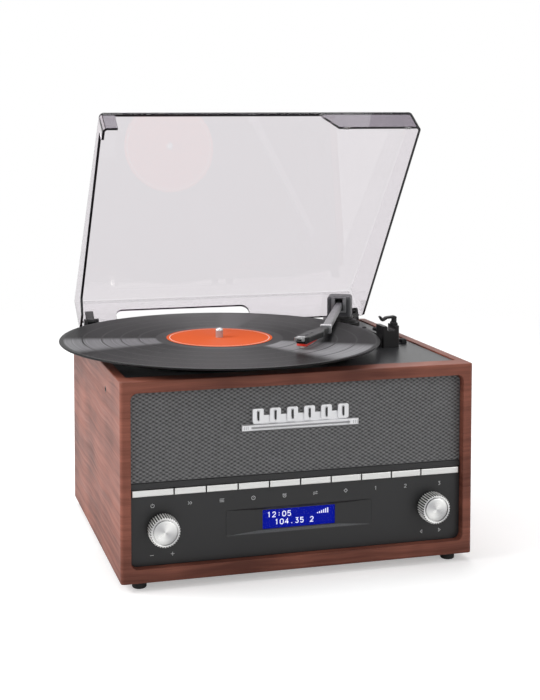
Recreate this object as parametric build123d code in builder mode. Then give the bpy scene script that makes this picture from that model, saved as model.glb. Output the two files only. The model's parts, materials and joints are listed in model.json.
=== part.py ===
"""Stereo music centre: a record player and radio in a wooden case, as separate named pieces.

Millimetres, +Z up, the front faces -Y. The origin is on the table, under the centre of the
bounding box of the whole object, record and open lid included.
"""

from build123d import *
from math import atan2, cos, radians, sin, sqrt, tan
import os

os.makedirs("parts", exist_ok=True)

# ---------------------------------------------------------------- driving dimensions
# Wooden case
CASE_WIDTH = 320.0
CASE_DEPTH = 260.0
CASE_HEIGHT = 172.0
CASE_CORNER = 3.0
BOARD = 12.0
SIDE_RIM = 8.5
FRONT_RIM = 18.0
REAR_RIM = 10.0
REAR_BOARD = 14.0
FRAME_SIDE = 9.0
FRAME_TOP = 10.0
FRAME_BOTTOM = 12.0
FRAME_CORNER = 6.0
PANEL_RECESS = 7.0
FOOT_HEIGHT = 7.0
FOOT_RADIUS = 6.3
FOOT_INSET_X = 18.0
FOOT_INSET_Y = 12.0

# Clearances
FIT = 0.3
RUNNING = 0.05

# Deck
DECK_DROP = 1.0
DECK_THICKNESS = 3.0

# Record, platter and drive
RECORD_RADIUS = 150.8
RECORD_THICKNESS = 1.9
RECORD_HOLE = 3.62
LABEL_RADIUS = 50.0
RECORD_ABOVE_RIM = 12.0
RECORD_FROM_REST = 3.7
RECORD_PAST_BACK = 12.8
SPINDLE_RADIUS = 3.5
SPINDLE_ABOVE_RECORD = 9.0
MAT_THICKNESS = 2.0
MAT_INSET = 4.0
PLATTER_FROM_RIM = 6.0
PLATTER_SKIRT = 7.0
PLATTER_WALL = 2.2
BELT_RING_INSET = 30.0
BELT_HEIGHT = 4.0
BELT_THICKNESS = 1.0
PULLEY_RADIUS = 4.2
PULLEY_FROM_RING = 16.0
PULLEY_ANGLE = 135.0
BEARING_RADIUS = 8.0
BEARING_LENGTH = 26.0
MOTOR_RADIUS = 15.0
MOTOR_HEIGHT = 20.0
MOTOR_SHAFT = 1.0

# Tonearm
ARM_FROM_RIGHT = 38.0
ARM_FROM_BACK = 24.0
ARM_ABOVE_RIM = 20.5
ARM_ANGLE = 25.2
TUBE_LENGTH = 162.0
TUBE_WIDTH = 6.4
TUBE_FRONT_WIDTH = 7.8
TUBE_HEIGHT = 6.5
SHELL_OFFSET = 15.0
SHELL_LENGTH = 64.0
SHELL_WIDTH = 15.0
STYLUS_FROM_COLLAR = 58.0
STYLUS_GAP = 0.3
ARM_TILT = 15.0
TRUNNION_RADIUS = 1.5
YOKE_WIDTH = 25.0
YOKE_LENGTH = 26.0
YOKE_HEIGHT = 21.0
BASE_RADIUS = 21.0
BASE_HEIGHT = 9.7
POST_RADIUS = 2.5
POST_LENGTH = 37.0
LIFTER_ARC = 34.0
LIFTER_TRAVEL = 4.0

# Arm rest, clip and cue lever
REST_FROM_RIGHT = 38.5
REST_FROM_ARM = 132.0
REST_WIDTH = 17.0
REST_DEPTH = 18.0
REST_ABOVE_RIM = 19.5
NOTCH_WIDTH = 8.2
NOTCH_DEPTH = 4.6
CLIP_WIDTH = 5.0
CUE_LENGTH = 50.0
SWITCH_FROM_RIGHT = 18.0
SPEED_FROM_REST = 11.0
SPEED_TRAVEL = 8.0
AUTO_STOP_FROM_ARM = 53.0
AUTO_STOP_TRAVEL = 5.0

# Lid
LID_INSET = 5.0
LID_FRONT_GAP = 4.0
LID_OVERHANG = 2.0
LID_WALL = 2.5
LID_FRONT_HEIGHT = 27.0
LID_REAR_HEIGHT = 46.0
LID_ANGLE = 54.5
LID_CORNER = 5.0
BUMPER = 1.5
HINGE_FROM_BACK = 4.0
HINGE_ABOVE_RIM = 9.5
HINGE_FROM_SIDE = 18.2
HINGE_WIDTH = 15.0
HINGE_PIN = 1.5
KNUCKLE = 3.2
EAR_WIDTH = 3.0

# Front panel
FASCIA_HEIGHT = 71.5
FASCIA_THICKNESS = 4.0
STRIP_HEIGHT = 5.0
GRILLE_THICKNESS = 1.4
GRILLE_LIP = 3.0
BAFFLE_THICKNESS = 5.0
BUTTON_COUNT = 10
BUTTON_ROW_INSET = 1.575
END_BUTTON_EXTRA = 8.65
BUTTON_GAP = 1.05
BUTTON_HEIGHT = 5.6
BUTTON_STANDOUT = 2.0
BUTTON_TRAVEL = 0.8
KNOB_RADIUS = 13.5
KNOB_LENGTH = 12.0
KNOB_GAP = 1.2
KNOB_FROM_SIDE = 37.0
KNOB_ABOVE_CASE = 44.0
KNOB_FLUTES = 48
SHAFT_RADIUS = 3.0
SCOOP_WIDTH = 134.0
SCOOP_HEIGHT = 23.0
SCOOP_DEPTH = 2.2
LCD_WIDTH = 66.5
LCD_HEIGHT = 17.0
LCD_ABOVE_CASE = 43.0
LENS_THICKNESS = 1.2
BADGE_WIDTH = 106.0
BADGE_BAR_HEIGHT = 5.6
BADGE_ABOVE_CASE = 125.5
FIN_COUNT = 6
FIN_WIDTH = 9.8
FIN_HEIGHT = 12.6
FIN_PITCH = 15.5

# Speakers and boards
SPEAKER_EDGE = 2.95
SPEAKER_FROM_SIDE = 78.0
SPEAKER_DEPTH = 30.0
BOARD_THICKNESS = 1.6
CONTROL_BOARD_DEPTH = 15.0

# Rear
REAR_PANEL_THICKNESS = 3.2
SCREW_RADIUS = 1.5
SCREW_HEAD = 3.0
RCA_RADIUS = 4.15
RCA_LENGTH = 9.0
RCA_BORE = 1.6
MINI_JACK_BORE = 1.75
DC_BORE = 2.75
AERIAL_RADIUS = 4.75
HEADPHONE_FROM_FRONT = 69.0
HEADPHONE_BELOW_RIM = 20.0

# ---------------------------------------------------------------- where things are
SPINDLE_FROM_RIGHT = REST_FROM_RIGHT + REST_WIDTH / 2 + RECORD_FROM_REST + RECORD_RADIUS
SPINDLE_FROM_LEFT = CASE_WIDTH - SPINDLE_FROM_RIGHT
SPINDLE_FROM_FRONT = CASE_DEPTH + RECORD_PAST_BACK - RECORD_RADIUS
# the nearest rim of the case sets the size of the platter
PLATTER_RADIUS = min(SPINDLE_FROM_FRONT - FRONT_RIM, SPINDLE_FROM_LEFT - SIDE_RIM) - PLATTER_FROM_RIM
MAT_RADIUS = PLATTER_RADIUS - MAT_INSET
BELT_RING_RADIUS = PLATTER_RADIUS - BELT_RING_INSET
PULLEY_DISTANCE = BELT_RING_RADIUS + PULLEY_FROM_RING
LID_WIDTH = CASE_WIDTH - 2 * LID_INSET
LEFT_REACH = RECORD_RADIUS - SPINDLE_FROM_LEFT
FRONT_REACH = RECORD_RADIUS - SPINDLE_FROM_FRONT
LID_SIN = sin(radians(LID_ANGLE))
LID_COS = cos(radians(LID_ANGLE))
LID_BACK = HINGE_FROM_BACK + LID_OVERHANG
LID_BOTTOM = BUMPER - HINGE_ABOVE_RIM
LID_REAR_TOP = LID_BOTTOM + LID_REAR_HEIGHT
LID_LENGTH = CASE_DEPTH - LID_FRONT_GAP + LID_OVERHANG
LID_SLOPE = atan2(LID_REAR_HEIGHT - LID_FRONT_HEIGHT, LID_LENGTH)
# the rounded upper rear edge of the open lid is the rearmost point
LID_EDGE_Y = LID_BACK - LID_CORNER
LID_EDGE_Z = LID_REAR_TOP - LID_CORNER * (tan(LID_SLOPE) + 1 / cos(LID_SLOPE))
REAR_REACH = LID_EDGE_Y * LID_COS + LID_EDGE_Z * LID_SIN + LID_CORNER - HINGE_FROM_BACK

X_LEFT = (LEFT_REACH - CASE_WIDTH) / 2
X_RIGHT = X_LEFT + CASE_WIDTH
X_MID = (X_LEFT + X_RIGHT) / 2
Y_FRONT = (FRONT_REACH - CASE_DEPTH - REAR_REACH) / 2
Y_BACK = Y_FRONT + CASE_DEPTH
Y_MID = (Y_FRONT + Y_BACK) / 2
Z_CASE = FOOT_HEIGHT
Z_RIM = Z_CASE + CASE_HEIGHT
Z_DECK = Z_RIM - DECK_DROP
Y_PANEL = Y_FRONT + PANEL_RECESS

SPINDLE_X = X_LEFT + SPINDLE_FROM_LEFT
SPINDLE_Y = Y_FRONT + SPINDLE_FROM_FRONT
Z_RECORD = Z_RIM + RECORD_ABOVE_RIM
Z_MAT = Z_RECORD - RECORD_THICKNESS
Z_PLATTER = Z_MAT - MAT_THICKNESS
PULLEY_X = SPINDLE_X + PULLEY_DISTANCE * cos(radians(PULLEY_ANGLE))
PULLEY_Y = SPINDLE_Y + PULLEY_DISTANCE * sin(radians(PULLEY_ANGLE))

ARM_X = X_RIGHT - ARM_FROM_RIGHT
ARM_Y = Y_BACK - ARM_FROM_BACK
Z_ARM = Z_RIM + ARM_ABOVE_RIM
REST_X = X_RIGHT - REST_FROM_RIGHT
REST_Y = ARM_Y - REST_FROM_ARM
HINGE_Y = Y_BACK - HINGE_FROM_BACK
Z_HINGE = Z_RIM + HINGE_ABOVE_RIM


def front_plane(y, x=0.0, z=0.0):
    """A plane at depth y that faces the front: its x runs along X, its y along Z."""
    return Plane(origin=(x, y, z), x_dir=(1, 0, 0), z_dir=(0, -1, 0))


def side_plane(x, y=0.0, z=0.0):
    """A plane at x that faces the right: its x runs along Y, its y along Z."""
    return Plane(origin=(x, y, z), x_dir=(0, 1, 0), z_dir=(1, 0, 0))


def arm_direction(angle):
    """The direction on the deck that lies angle degrees from the front towards the left."""
    return (-sin(radians(angle)), -cos(radians(angle)), 0)


def keep(builder, label):
    """Labels a finished piece and writes it as parts/label.step."""
    builder.part.label = label
    export_step(builder.part, f"parts/{label}.step")


# The lid's own plane lies on the hinge axis and tilts with it: x along X, y to the rear and
# z up through the lid when it is closed.
LID_PLANE = Plane(origin=(X_MID, HINGE_Y, Z_HINGE), x_dir=(1, 0, 0), z_dir=(0, LID_SIN, LID_COS))


def lid_point(x, y, z):
    """A point given in the lid's own plane, in the frame of the whole object."""
    return LID_PLANE.from_local_coords(Vector(x, y, z))


def lid_side_plane(x):
    """A plane across the lid at x, whose x runs to the rear of the lid and whose y runs up."""
    return Plane(origin=lid_point(x, 0, 0), x_dir=LID_PLANE.y_dir, z_dir=LID_PLANE.x_dir)


def lid_front_plane(y):
    """A plane across the lid at y, whose x runs along X and whose y runs up through the lid."""
    return Plane(origin=lid_point(0, y, 0), x_dir=LID_PLANE.x_dir, z_dir=-LID_PLANE.y_dir)


# ---------------------------------------------------------------- wooden case
OPENING_WIDTH = CASE_WIDTH - 2 * FRAME_SIDE
OPENING_HEIGHT = CASE_HEIGHT - FRAME_TOP - FRAME_BOTTOM
OPENING_Z = Z_CASE + FRAME_BOTTOM + OPENING_HEIGHT / 2
INNER_WIDTH = CASE_WIDTH - 2 * BOARD
INNER_DEPTH = CASE_DEPTH - FRONT_RIM - REAR_BOARD
INNER_Y = Y_FRONT + FRONT_RIM + INNER_DEPTH / 2
DECK_WIDTH = CASE_WIDTH - 2 * SIDE_RIM
DECK_DEPTH = CASE_DEPTH - FRONT_RIM - REAR_RIM
DECK_Y = Y_FRONT + FRONT_RIM + DECK_DEPTH / 2
REAR_OPENING_WIDTH = INNER_WIDTH - 8
REAR_OPENING_HEIGHT = CASE_HEIGHT - 2 * BOARD - 8
REAR_PANEL_WIDTH = INNER_WIDTH + 4
REAR_PANEL_HEIGHT = REAR_OPENING_HEIGHT + 10
REAR_Z = Z_CASE + CASE_HEIGHT / 2
SCREW_LENGTH = 8.0
SCREW_EDGE = 3.0
HEADPHONE_PLANE = Plane(
    origin=(X_LEFT, Y_FRONT + HEADPHONE_FROM_FRONT, Z_RIM - HEADPHONE_BELOW_RIM),
    x_dir=(0, -1, 0),
    z_dir=(-1, 0, 0),
)
MINI_JACK_NECK = 3.0
MINI_JACK_LENGTH = 15.0


def rear_screw_places():
    """The places of the rear panel's screws, on a plane that faces the front."""
    across = REAR_PANEL_WIDTH / 2 - SCREW_EDGE
    up = REAR_PANEL_HEIGHT / 2 - SCREW_EDGE
    return Locations(
        *[(X_MID + i * across, REAR_Z + k * up) for i in (-1, 0, 1) for k in (-1, 1)]
    )


with BuildPart() as case:
    with BuildSketch(Plane.XY.offset(Z_CASE)):
        with Locations((X_MID, Y_MID)):
            RectangleRounded(CASE_WIDTH, CASE_DEPTH, CASE_CORNER)
    extrude(amount=CASE_HEIGHT)
    # the hollow, open at the top
    with BuildSketch(Plane.XY.offset(Z_CASE + BOARD)):
        with Locations((X_MID, INNER_Y)):
            Rectangle(INNER_WIDTH, INNER_DEPTH)
    extrude(amount=CASE_HEIGHT, mode=Mode.SUBTRACT)
    # the rebate that the deck lies in
    with BuildSketch(Plane.XY.offset(Z_DECK - DECK_THICKNESS)):
        with Locations((X_MID, DECK_Y)):
            Rectangle(DECK_WIDTH, DECK_DEPTH)
    extrude(amount=DECK_THICKNESS + DECK_DROP, mode=Mode.SUBTRACT)
    # the front opening, with rounded corners
    with BuildSketch(front_plane(Y_FRONT)):
        with Locations((X_MID, OPENING_Z)):
            RectangleRounded(OPENING_WIDTH, OPENING_HEIGHT, FRAME_CORNER)
    extrude(amount=-FRONT_RIM, mode=Mode.SUBTRACT)
    # the rear opening and the rebate of its panel
    with BuildSketch(front_plane(Y_BACK)):
        with Locations((X_MID, REAR_Z)):
            Rectangle(REAR_OPENING_WIDTH, REAR_OPENING_HEIGHT)
    extrude(amount=REAR_BOARD, mode=Mode.SUBTRACT)
    with BuildSketch(front_plane(Y_BACK)):
        with Locations((X_MID, REAR_Z)):
            Rectangle(REAR_PANEL_WIDTH, REAR_PANEL_HEIGHT)
    extrude(amount=REAR_PANEL_THICKNESS, mode=Mode.SUBTRACT)
    # pilot holes of the rear screws
    with BuildSketch(front_plane(Y_BACK)):
        with rear_screw_places():
            Circle(SCREW_RADIUS)
    extrude(amount=REAR_PANEL_THICKNESS + SCREW_LENGTH, mode=Mode.SUBTRACT)
    # the headphone socket's hole in the left side
    with BuildSketch(HEADPHONE_PLANE):
        Circle(MINI_JACK_NECK)
    extrude(amount=-BOARD, mode=Mode.SUBTRACT)
    # the edges of the front frame and the top are softened
    fillet(case.faces().sort_by(Axis.Y)[0].outer_wire().edges(), radius=1.0)
keep(case, "wooden_case")

with BuildPart() as feet:
    with BuildSketch(Plane.XY.offset(0)):
        with Locations((X_MID, Y_MID)):
            with GridLocations(CASE_WIDTH - 2 * FOOT_INSET_X, CASE_DEPTH - 2 * FOOT_INSET_Y, 2, 2):
                Circle(FOOT_RADIUS)
    extrude(amount=FOOT_HEIGHT)
    fillet(feet.edges().group_by(Axis.Z)[0], radius=1.5)
keep(feet, "feet")

# ---------------------------------------------------------------- rear panel and its sockets
SOCKET_Z = REAR_Z - 42
SOCKET_FIRST_X = X_MID + 40
RCA_PITCH = 18.0
LINE_OUT_X = [SOCKET_FIRST_X, SOCKET_FIRST_X + RCA_PITCH]
AUX_X = SOCKET_FIRST_X - 24
DC_X = X_RIGHT - 45
AERIAL_X = X_LEFT + 60
AERIAL_Z = REAR_Z + 46
SOCKET_FLANGE = 2.0
SOCKET_HOLE = 6.2
VENT_LENGTH = 46.0
VENT_WIDTH = 2.6
VENT_PITCH = 7.0
VENT_COUNT = 9
Y_REAR_PANEL = Y_BACK - REAR_PANEL_THICKNESS

with BuildPart() as rear_panel:
    with BuildSketch(front_plane(Y_REAR_PANEL)):
        with Locations((X_MID, REAR_Z)):
            Rectangle(REAR_PANEL_WIDTH - 2 * FIT, REAR_PANEL_HEIGHT - 2 * FIT)
        with Locations(*[(x, SOCKET_Z) for x in (*LINE_OUT_X, AUX_X, DC_X)], (AERIAL_X, AERIAL_Z)):
            Circle(SOCKET_HOLE, mode=Mode.SUBTRACT)
        with Locations((X_MID - 30, REAR_Z + 22), (X_MID + 60, REAR_Z + 22)):
            with GridLocations(0, VENT_PITCH, 1, VENT_COUNT):
                SlotOverall(VENT_LENGTH, VENT_WIDTH, mode=Mode.SUBTRACT)
        with rear_screw_places():
            Circle(SCREW_RADIUS + FIT, mode=Mode.SUBTRACT)
    extrude(amount=-REAR_PANEL_THICKNESS)
keep(rear_panel, "rear_panel")

with BuildPart() as panel_screws:
    with BuildSketch(front_plane(Y_BACK)):
        with rear_screw_places():
            Circle(SCREW_RADIUS - RUNNING)
    extrude(amount=REAR_PANEL_THICKNESS + SCREW_LENGTH)
    with BuildSketch(front_plane(Y_BACK)):
        with rear_screw_places():
            Circle(SCREW_HEAD)
    extrude(amount=-1.6)
    fillet(panel_screws.edges().group_by(Axis.Y)[-1], radius=0.8)
    with BuildSketch(front_plane(Y_BACK + 1.6)):
        with rear_screw_places():
            Rectangle(3.2, 0.7)
            Rectangle(0.7, 3.2)
    extrude(amount=1.0, mode=Mode.SUBTRACT)
keep(panel_screws, "panel_screws")


def rear_socket(x, z, collar, bore, collar_length, bore_length):
    """A socket that fills its hole in the rear panel: flange inside, collar outside, bore."""
    with BuildPart() as socket:
        with BuildSketch(front_plane(Y_REAR_PANEL, x, z)):
            Circle(SOCKET_HOLE + 3)
        extrude(amount=SOCKET_FLANGE)
        with BuildSketch(front_plane(Y_REAR_PANEL, x, z)):
            Circle(SOCKET_HOLE - 0.1)
        extrude(amount=-REAR_PANEL_THICKNESS)
        with BuildSketch(front_plane(Y_REAR_PANEL - SOCKET_FLANGE, x, z)):
            Rectangle(11, 12)
        extrude(amount=10)
        with BuildSketch(front_plane(Y_BACK, x, z)):
            Circle(collar)
        extrude(amount=-collar_length)
        with BuildSketch(front_plane(Y_BACK + collar_length, x, z)):
            Circle(bore)
        extrude(amount=bore_length, mode=Mode.SUBTRACT)
    return socket


line_outs = [
    rear_socket(socket_x, SOCKET_Z, RCA_RADIUS, RCA_BORE, RCA_LENGTH, 13.0) for socket_x in LINE_OUT_X
]
with BuildPart() as line_out_sockets:
    for line_out in line_outs:
        add(line_out.part)
keep(line_out_sockets, "line_out_sockets")

dc_inlet = rear_socket(DC_X, SOCKET_Z, SOCKET_HOLE - 0.6, DC_BORE, 0.8, 9.0)
keep(dc_inlet, "dc_inlet")

aerial_socket = rear_socket(AERIAL_X, AERIAL_Z, AERIAL_RADIUS, 1.2, 10.0, 12.0)
keep(aerial_socket, "aerial_socket")


def mini_jack(plane, neck_length):
    """A 3.5 mm socket: a neck that stands through a wall and a body behind it."""
    with BuildPart() as jack:
        with BuildSketch(plane):
            Circle(MINI_JACK_NECK - 0.1)
        extrude(amount=-neck_length)
        with BuildSketch(plane.offset(-neck_length)):
            Rectangle(9, 8)
        extrude(amount=-MINI_JACK_LENGTH)
        with BuildSketch(plane):
            Circle(MINI_JACK_BORE)
        extrude(amount=-14.0, mode=Mode.SUBTRACT)
    return jack


AUX_PLANE = Plane(origin=(AUX_X, Y_BACK, SOCKET_Z), x_dir=(-1, 0, 0), z_dir=(0, 1, 0))
headphone_jack = mini_jack(HEADPHONE_PLANE, BOARD)
aux_jack = mini_jack(AUX_PLANE, REAR_PANEL_THICKNESS)
with BuildPart() as mini_jack_sockets:
    add(headphone_jack.part)
    add(aux_jack.part)
    # a bush fills the larger hole of the panel
    with BuildSketch(AUX_PLANE):
        Circle(SOCKET_HOLE - 0.1)
        Circle(MINI_JACK_NECK - 0.1, mode=Mode.SUBTRACT)
    extrude(amount=-REAR_PANEL_THICKNESS)
keep(mini_jack_sockets, "mini_jack_sockets")

# ---------------------------------------------------------------- deck
MOTOR_HOLE = 8.0
SWITCH_X = X_RIGHT - SWITCH_FROM_RIGHT
SPEED_Y = REST_Y + SPEED_FROM_REST
AUTO_STOP_Y = ARM_Y - AUTO_STOP_FROM_ARM
SWITCH_STEM = 2.0
LIFTER_ANGLE = 22.0
LIFTER_SWEEP = 32.0
LIFTER_STEM = 2.0
LIFTER_DX, LIFTER_DY, _ = arm_direction(LIFTER_ANGLE)
LIFTER_X = ARM_X + LIFTER_ARC * LIFTER_DX
LIFTER_Y = ARM_Y + LIFTER_ARC * LIFTER_DY
ARM_HOLE = 6.5
RIB_GAP = 1.0
RIB_WIDTH = 2.0
RIB_HEIGHT = 6.0
RIB_INSIDE_WIDTH = INNER_WIDTH - 2 * (RIB_GAP + RIB_WIDTH)
RIB_INSIDE_DEPTH = INNER_DEPTH - 2 * (RIB_GAP + RIB_WIDTH)

with BuildPart() as deck_plate:
    with BuildSketch(Plane.XY.offset(Z_DECK - DECK_THICKNESS)):
        with Locations((X_MID, DECK_Y)):
            Rectangle(DECK_WIDTH - 2 * FIT, DECK_DEPTH - 2 * FIT)
    extrude(amount=DECK_THICKNESS)
    fillet(deck_plate.edges().group_by(Axis.Z)[-1], radius=0.5)
    # stiffening ribs below, inside the case
    with BuildSketch(Plane.XY.offset(Z_DECK - DECK_THICKNESS)):
        with Locations((X_MID, INNER_Y)):
            Rectangle(INNER_WIDTH - 2 * RIB_GAP, INNER_DEPTH - 2 * RIB_GAP)
            Rectangle(RIB_INSIDE_WIDTH, RIB_INSIDE_DEPTH, mode=Mode.SUBTRACT)
    extrude(amount=-RIB_HEIGHT)
    # seats of the bearing, the motor, the tonearm, its lifter and the switches
    with BuildSketch(Plane.XY.offset(Z_DECK)):
        with Locations((SPINDLE_X, SPINDLE_Y)):
            Circle(BEARING_RADIUS)
        with Locations((PULLEY_X, PULLEY_Y)):
            Circle(MOTOR_HOLE)
        with Locations((ARM_X, ARM_Y)):
            Circle(ARM_HOLE)
        with Locations((LIFTER_X, LIFTER_Y)):
            Circle(LIFTER_STEM + FIT)
        with Locations((SWITCH_X, SPEED_Y + SPEED_TRAVEL / 2)):
            SlotOverall(SPEED_TRAVEL + 2 * (SWITCH_STEM + FIT), 2 * (SWITCH_STEM + FIT), rotation=90)
        with Locations((SWITCH_X, AUTO_STOP_Y + AUTO_STOP_TRAVEL / 2)):
            SlotOverall(AUTO_STOP_TRAVEL + 2 * (SWITCH_STEM + FIT), 2 * (SWITCH_STEM + FIT), rotation=90)
    extrude(amount=-DECK_THICKNESS, mode=Mode.SUBTRACT)
keep(deck_plate, "deck_plate")

# ---------------------------------------------------------------- platter, record and drive
FLANGE = 2.0
SPINDLE_BOTTOM = Z_DECK - BEARING_LENGTH - 3

with BuildPart() as bearing_housing:
    with BuildSketch(Plane.XY.offset(Z_DECK - BEARING_LENGTH)):
        with Locations((SPINDLE_X, SPINDLE_Y)):
            Circle(BEARING_RADIUS - 0.1)
    extrude(amount=BEARING_LENGTH)
    with BuildSketch(Plane.XY.offset(Z_DECK - DECK_THICKNESS)):
        with Locations((SPINDLE_X, SPINDLE_Y)):
            Circle(2 * BEARING_RADIUS)
    extrude(amount=-FLANGE)
    with BuildSketch(Plane.XY.offset(Z_DECK)):
        with Locations((SPINDLE_X, SPINDLE_Y)):
            Circle(SPINDLE_RADIUS + RUNNING)
    extrude(amount=-BEARING_LENGTH, mode=Mode.SUBTRACT)
keep(bearing_housing, "bearing_housing")

with BuildPart() as spindle:
    with BuildSketch(Plane.XY.offset(SPINDLE_BOTTOM)):
        with Locations((SPINDLE_X, SPINDLE_Y)):
            Circle(SPINDLE_RADIUS)
    extrude(amount=Z_RECORD + SPINDLE_ABOVE_RECORD - SPINDLE_BOTTOM)
    fillet(spindle.edges().sort_by(Axis.Z)[-1], radius=SPINDLE_RADIUS * 0.7)
    # the retaining ring under the bearing
    with BuildSketch(Plane.XY.offset(Z_DECK - BEARING_LENGTH - FIT)):
        with Locations((SPINDLE_X, SPINDLE_Y)):
            Circle(SPINDLE_RADIUS + 2)
    extrude(amount=-1.2)
keep(spindle, "spindle")

HUB_RADIUS = 13.0
WEB_Z = Z_PLATTER - PLATTER_WALL
SKIRT_Z = Z_PLATTER - PLATTER_SKIRT
PLATTER_AXIS = Axis((SPINDLE_X, SPINDLE_Y, 0), (0, 0, 1))


def turned_plane():
    """The half plane through the spindle's axis that turned profiles are drawn on."""
    return Plane(origin=(SPINDLE_X, SPINDLE_Y, 0), x_dir=(1, 0, 0), z_dir=(0, -1, 0))


with BuildPart() as platter:
    with BuildSketch(turned_plane()):
        with BuildLine():
            Polyline(
                (SPINDLE_RADIUS, Z_PLATTER),
                (PLATTER_RADIUS, Z_PLATTER),
                (PLATTER_RADIUS, SKIRT_Z),
                (PLATTER_RADIUS - PLATTER_WALL, SKIRT_Z),
                (PLATTER_RADIUS - PLATTER_WALL, WEB_Z),
                (BELT_RING_RADIUS, WEB_Z),
                (BELT_RING_RADIUS, SKIRT_Z),
                (BELT_RING_RADIUS - PLATTER_WALL, SKIRT_Z),
                (BELT_RING_RADIUS - PLATTER_WALL, WEB_Z),
                (HUB_RADIUS, WEB_Z),
                (HUB_RADIUS, Z_DECK + 0.5),
                (SPINDLE_RADIUS, Z_DECK + 0.5),
                close=True,
            )
        make_face()
    revolve(axis=PLATTER_AXIS)
    fillet(platter.edges().filter_by(GeomType.CIRCLE).group_by(SortBy.RADIUS)[-1], radius=0.8)
keep(platter, "platter")

with BuildPart() as platter_mat:
    with BuildSketch(Plane.XY.offset(Z_PLATTER)):
        with Locations((SPINDLE_X, SPINDLE_Y)):
            Circle(MAT_RADIUS)
            Circle(SPINDLE_RADIUS + 0.2, mode=Mode.SUBTRACT)
    extrude(amount=MAT_THICKNESS)
keep(platter_mat, "platter_mat")

GROOVE_DROP = 0.25
RUN_OUT_RADIUS = 58.0
LEAD_IN_RADIUS = RECORD_RADIUS - 4.0

with BuildPart() as record:
    with BuildSketch(turned_plane()):
        with BuildLine():
            Polyline(
                (RECORD_HOLE, Z_MAT),
                (RECORD_HOLE, Z_RECORD),
                (LABEL_RADIUS, Z_RECORD),
                (LABEL_RADIUS + 1, Z_RECORD - GROOVE_DROP),
                (LEAD_IN_RADIUS, Z_RECORD - GROOVE_DROP),
                (LEAD_IN_RADIUS + 1, Z_RECORD - GROOVE_DROP / 2),
                (RECORD_RADIUS - 0.6, Z_RECORD - GROOVE_DROP / 2),
                (RECORD_RADIUS, Z_RECORD - RECORD_THICKNESS / 2),
                (RECORD_RADIUS - 0.6, Z_MAT + GROOVE_DROP / 2),
                (MAT_RADIUS + 2, Z_MAT),
                close=True,
            )
        make_face()
    revolve(axis=PLATTER_AXIS)
keep(record, "record")

BELT_Z = WEB_Z - 0.4 - BELT_HEIGHT


def belt_loop(clearance):
    """The outline of a belt that runs round the platter's ring and the pulley."""
    with BuildSketch(Plane.XY.offset(BELT_Z)) as loop:
        with BuildLine() as path:
            CenterArc((SPINDLE_X, SPINDLE_Y), BELT_RING_RADIUS + clearance, 0, 360)
            CenterArc((PULLEY_X, PULLEY_Y), PULLEY_RADIUS + clearance, 0, 360)
        make_hull(path.edges())
    return loop.sketch


belt_outside = belt_loop(FIT + BELT_THICKNESS)
belt_inside = belt_loop(FIT)
with BuildPart() as drive_belt:
    extrude(belt_outside, amount=BELT_HEIGHT)
    extrude(belt_inside, amount=BELT_HEIGHT, mode=Mode.SUBTRACT)
keep(drive_belt, "drive_belt")

MOTOR_TOP = Z_DECK - DECK_THICKNESS - 2.5
EAR_RADIUS = 4.0
SHAFT_SOCKET = 8.0

with BuildPart() as motor:
    with BuildSketch(Plane.XY.offset(MOTOR_TOP)):
        with Locations((PULLEY_X, PULLEY_Y)):
            Circle(MOTOR_RADIUS)
    extrude(amount=-MOTOR_HEIGHT)
    fillet(motor.edges().group_by(Axis.Z)[0], radius=1.5)
    # mounting flange with three rubber-bushed ears against the deck
    with BuildSketch(Plane.XY.offset(MOTOR_TOP)):
        with Locations((PULLEY_X, PULLEY_Y)):
            Circle(MOTOR_RADIUS + 1)
            with PolarLocations(MOTOR_RADIUS + EAR_RADIUS, 3):
                Circle(EAR_RADIUS)
    extrude(amount=-FLANGE)
    with BuildSketch(Plane.XY.offset(MOTOR_TOP)):
        with Locations((PULLEY_X, PULLEY_Y)):
            with PolarLocations(MOTOR_RADIUS + EAR_RADIUS, 3):
                Circle(0.8 * EAR_RADIUS)
    extrude(amount=Z_DECK - DECK_THICKNESS - MOTOR_TOP)
    with BuildSketch(Plane.XY.offset(MOTOR_TOP)):
        with Locations((PULLEY_X, PULLEY_Y)):
            Circle(MOTOR_SHAFT + RUNNING)
    extrude(amount=-SHAFT_SOCKET, mode=Mode.SUBTRACT)
keep(motor, "motor")

with BuildPart() as motor_pulley:
    with BuildSketch(Plane.XY.offset(MOTOR_TOP - SHAFT_SOCKET + 2 * FIT)):
        with Locations((PULLEY_X, PULLEY_Y)):
            Circle(MOTOR_SHAFT)
    extrude(amount=BELT_Z + BELT_HEIGHT - MOTOR_TOP + SHAFT_SOCKET - 2 * FIT)
    with BuildSketch(Plane.XY.offset(BELT_Z - 1.4)):
        with Locations((PULLEY_X, PULLEY_Y)):
            Circle(PULLEY_RADIUS + 1.4)
    extrude(amount=1.2)
    with BuildSketch(Plane.XY.offset(BELT_Z - 0.2)):
        with Locations((PULLEY_X, PULLEY_Y)):
            Circle(PULLEY_RADIUS)
    extrude(amount=BELT_HEIGHT + 0.3)
keep(motor_pulley, "motor_pulley")

# ---------------------------------------------------------------- tonearm
# The arm's own plane: x along the tube from the pivot, z up.
ARM_PLANE = Plane(origin=(ARM_X, ARM_Y, Z_ARM), x_dir=arm_direction(ARM_ANGLE), z_dir=(0, 0, 1))
COLLAR = ARM_PLANE.from_local_coords(Vector(TUBE_LENGTH, 0, 0))
SHELL_PLANE = Plane(origin=COLLAR, x_dir=arm_direction(ARM_ANGLE + SHELL_OFFSET), z_dir=(0, 0, 1))
Z_BASE_TOP = Z_DECK + BASE_HEIGHT
Z_YOKE = Z_BASE_TOP + FIT
YOKE_UNDER = Z_YOKE - Z_ARM
BASE_SPIGOT = 12.0


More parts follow.
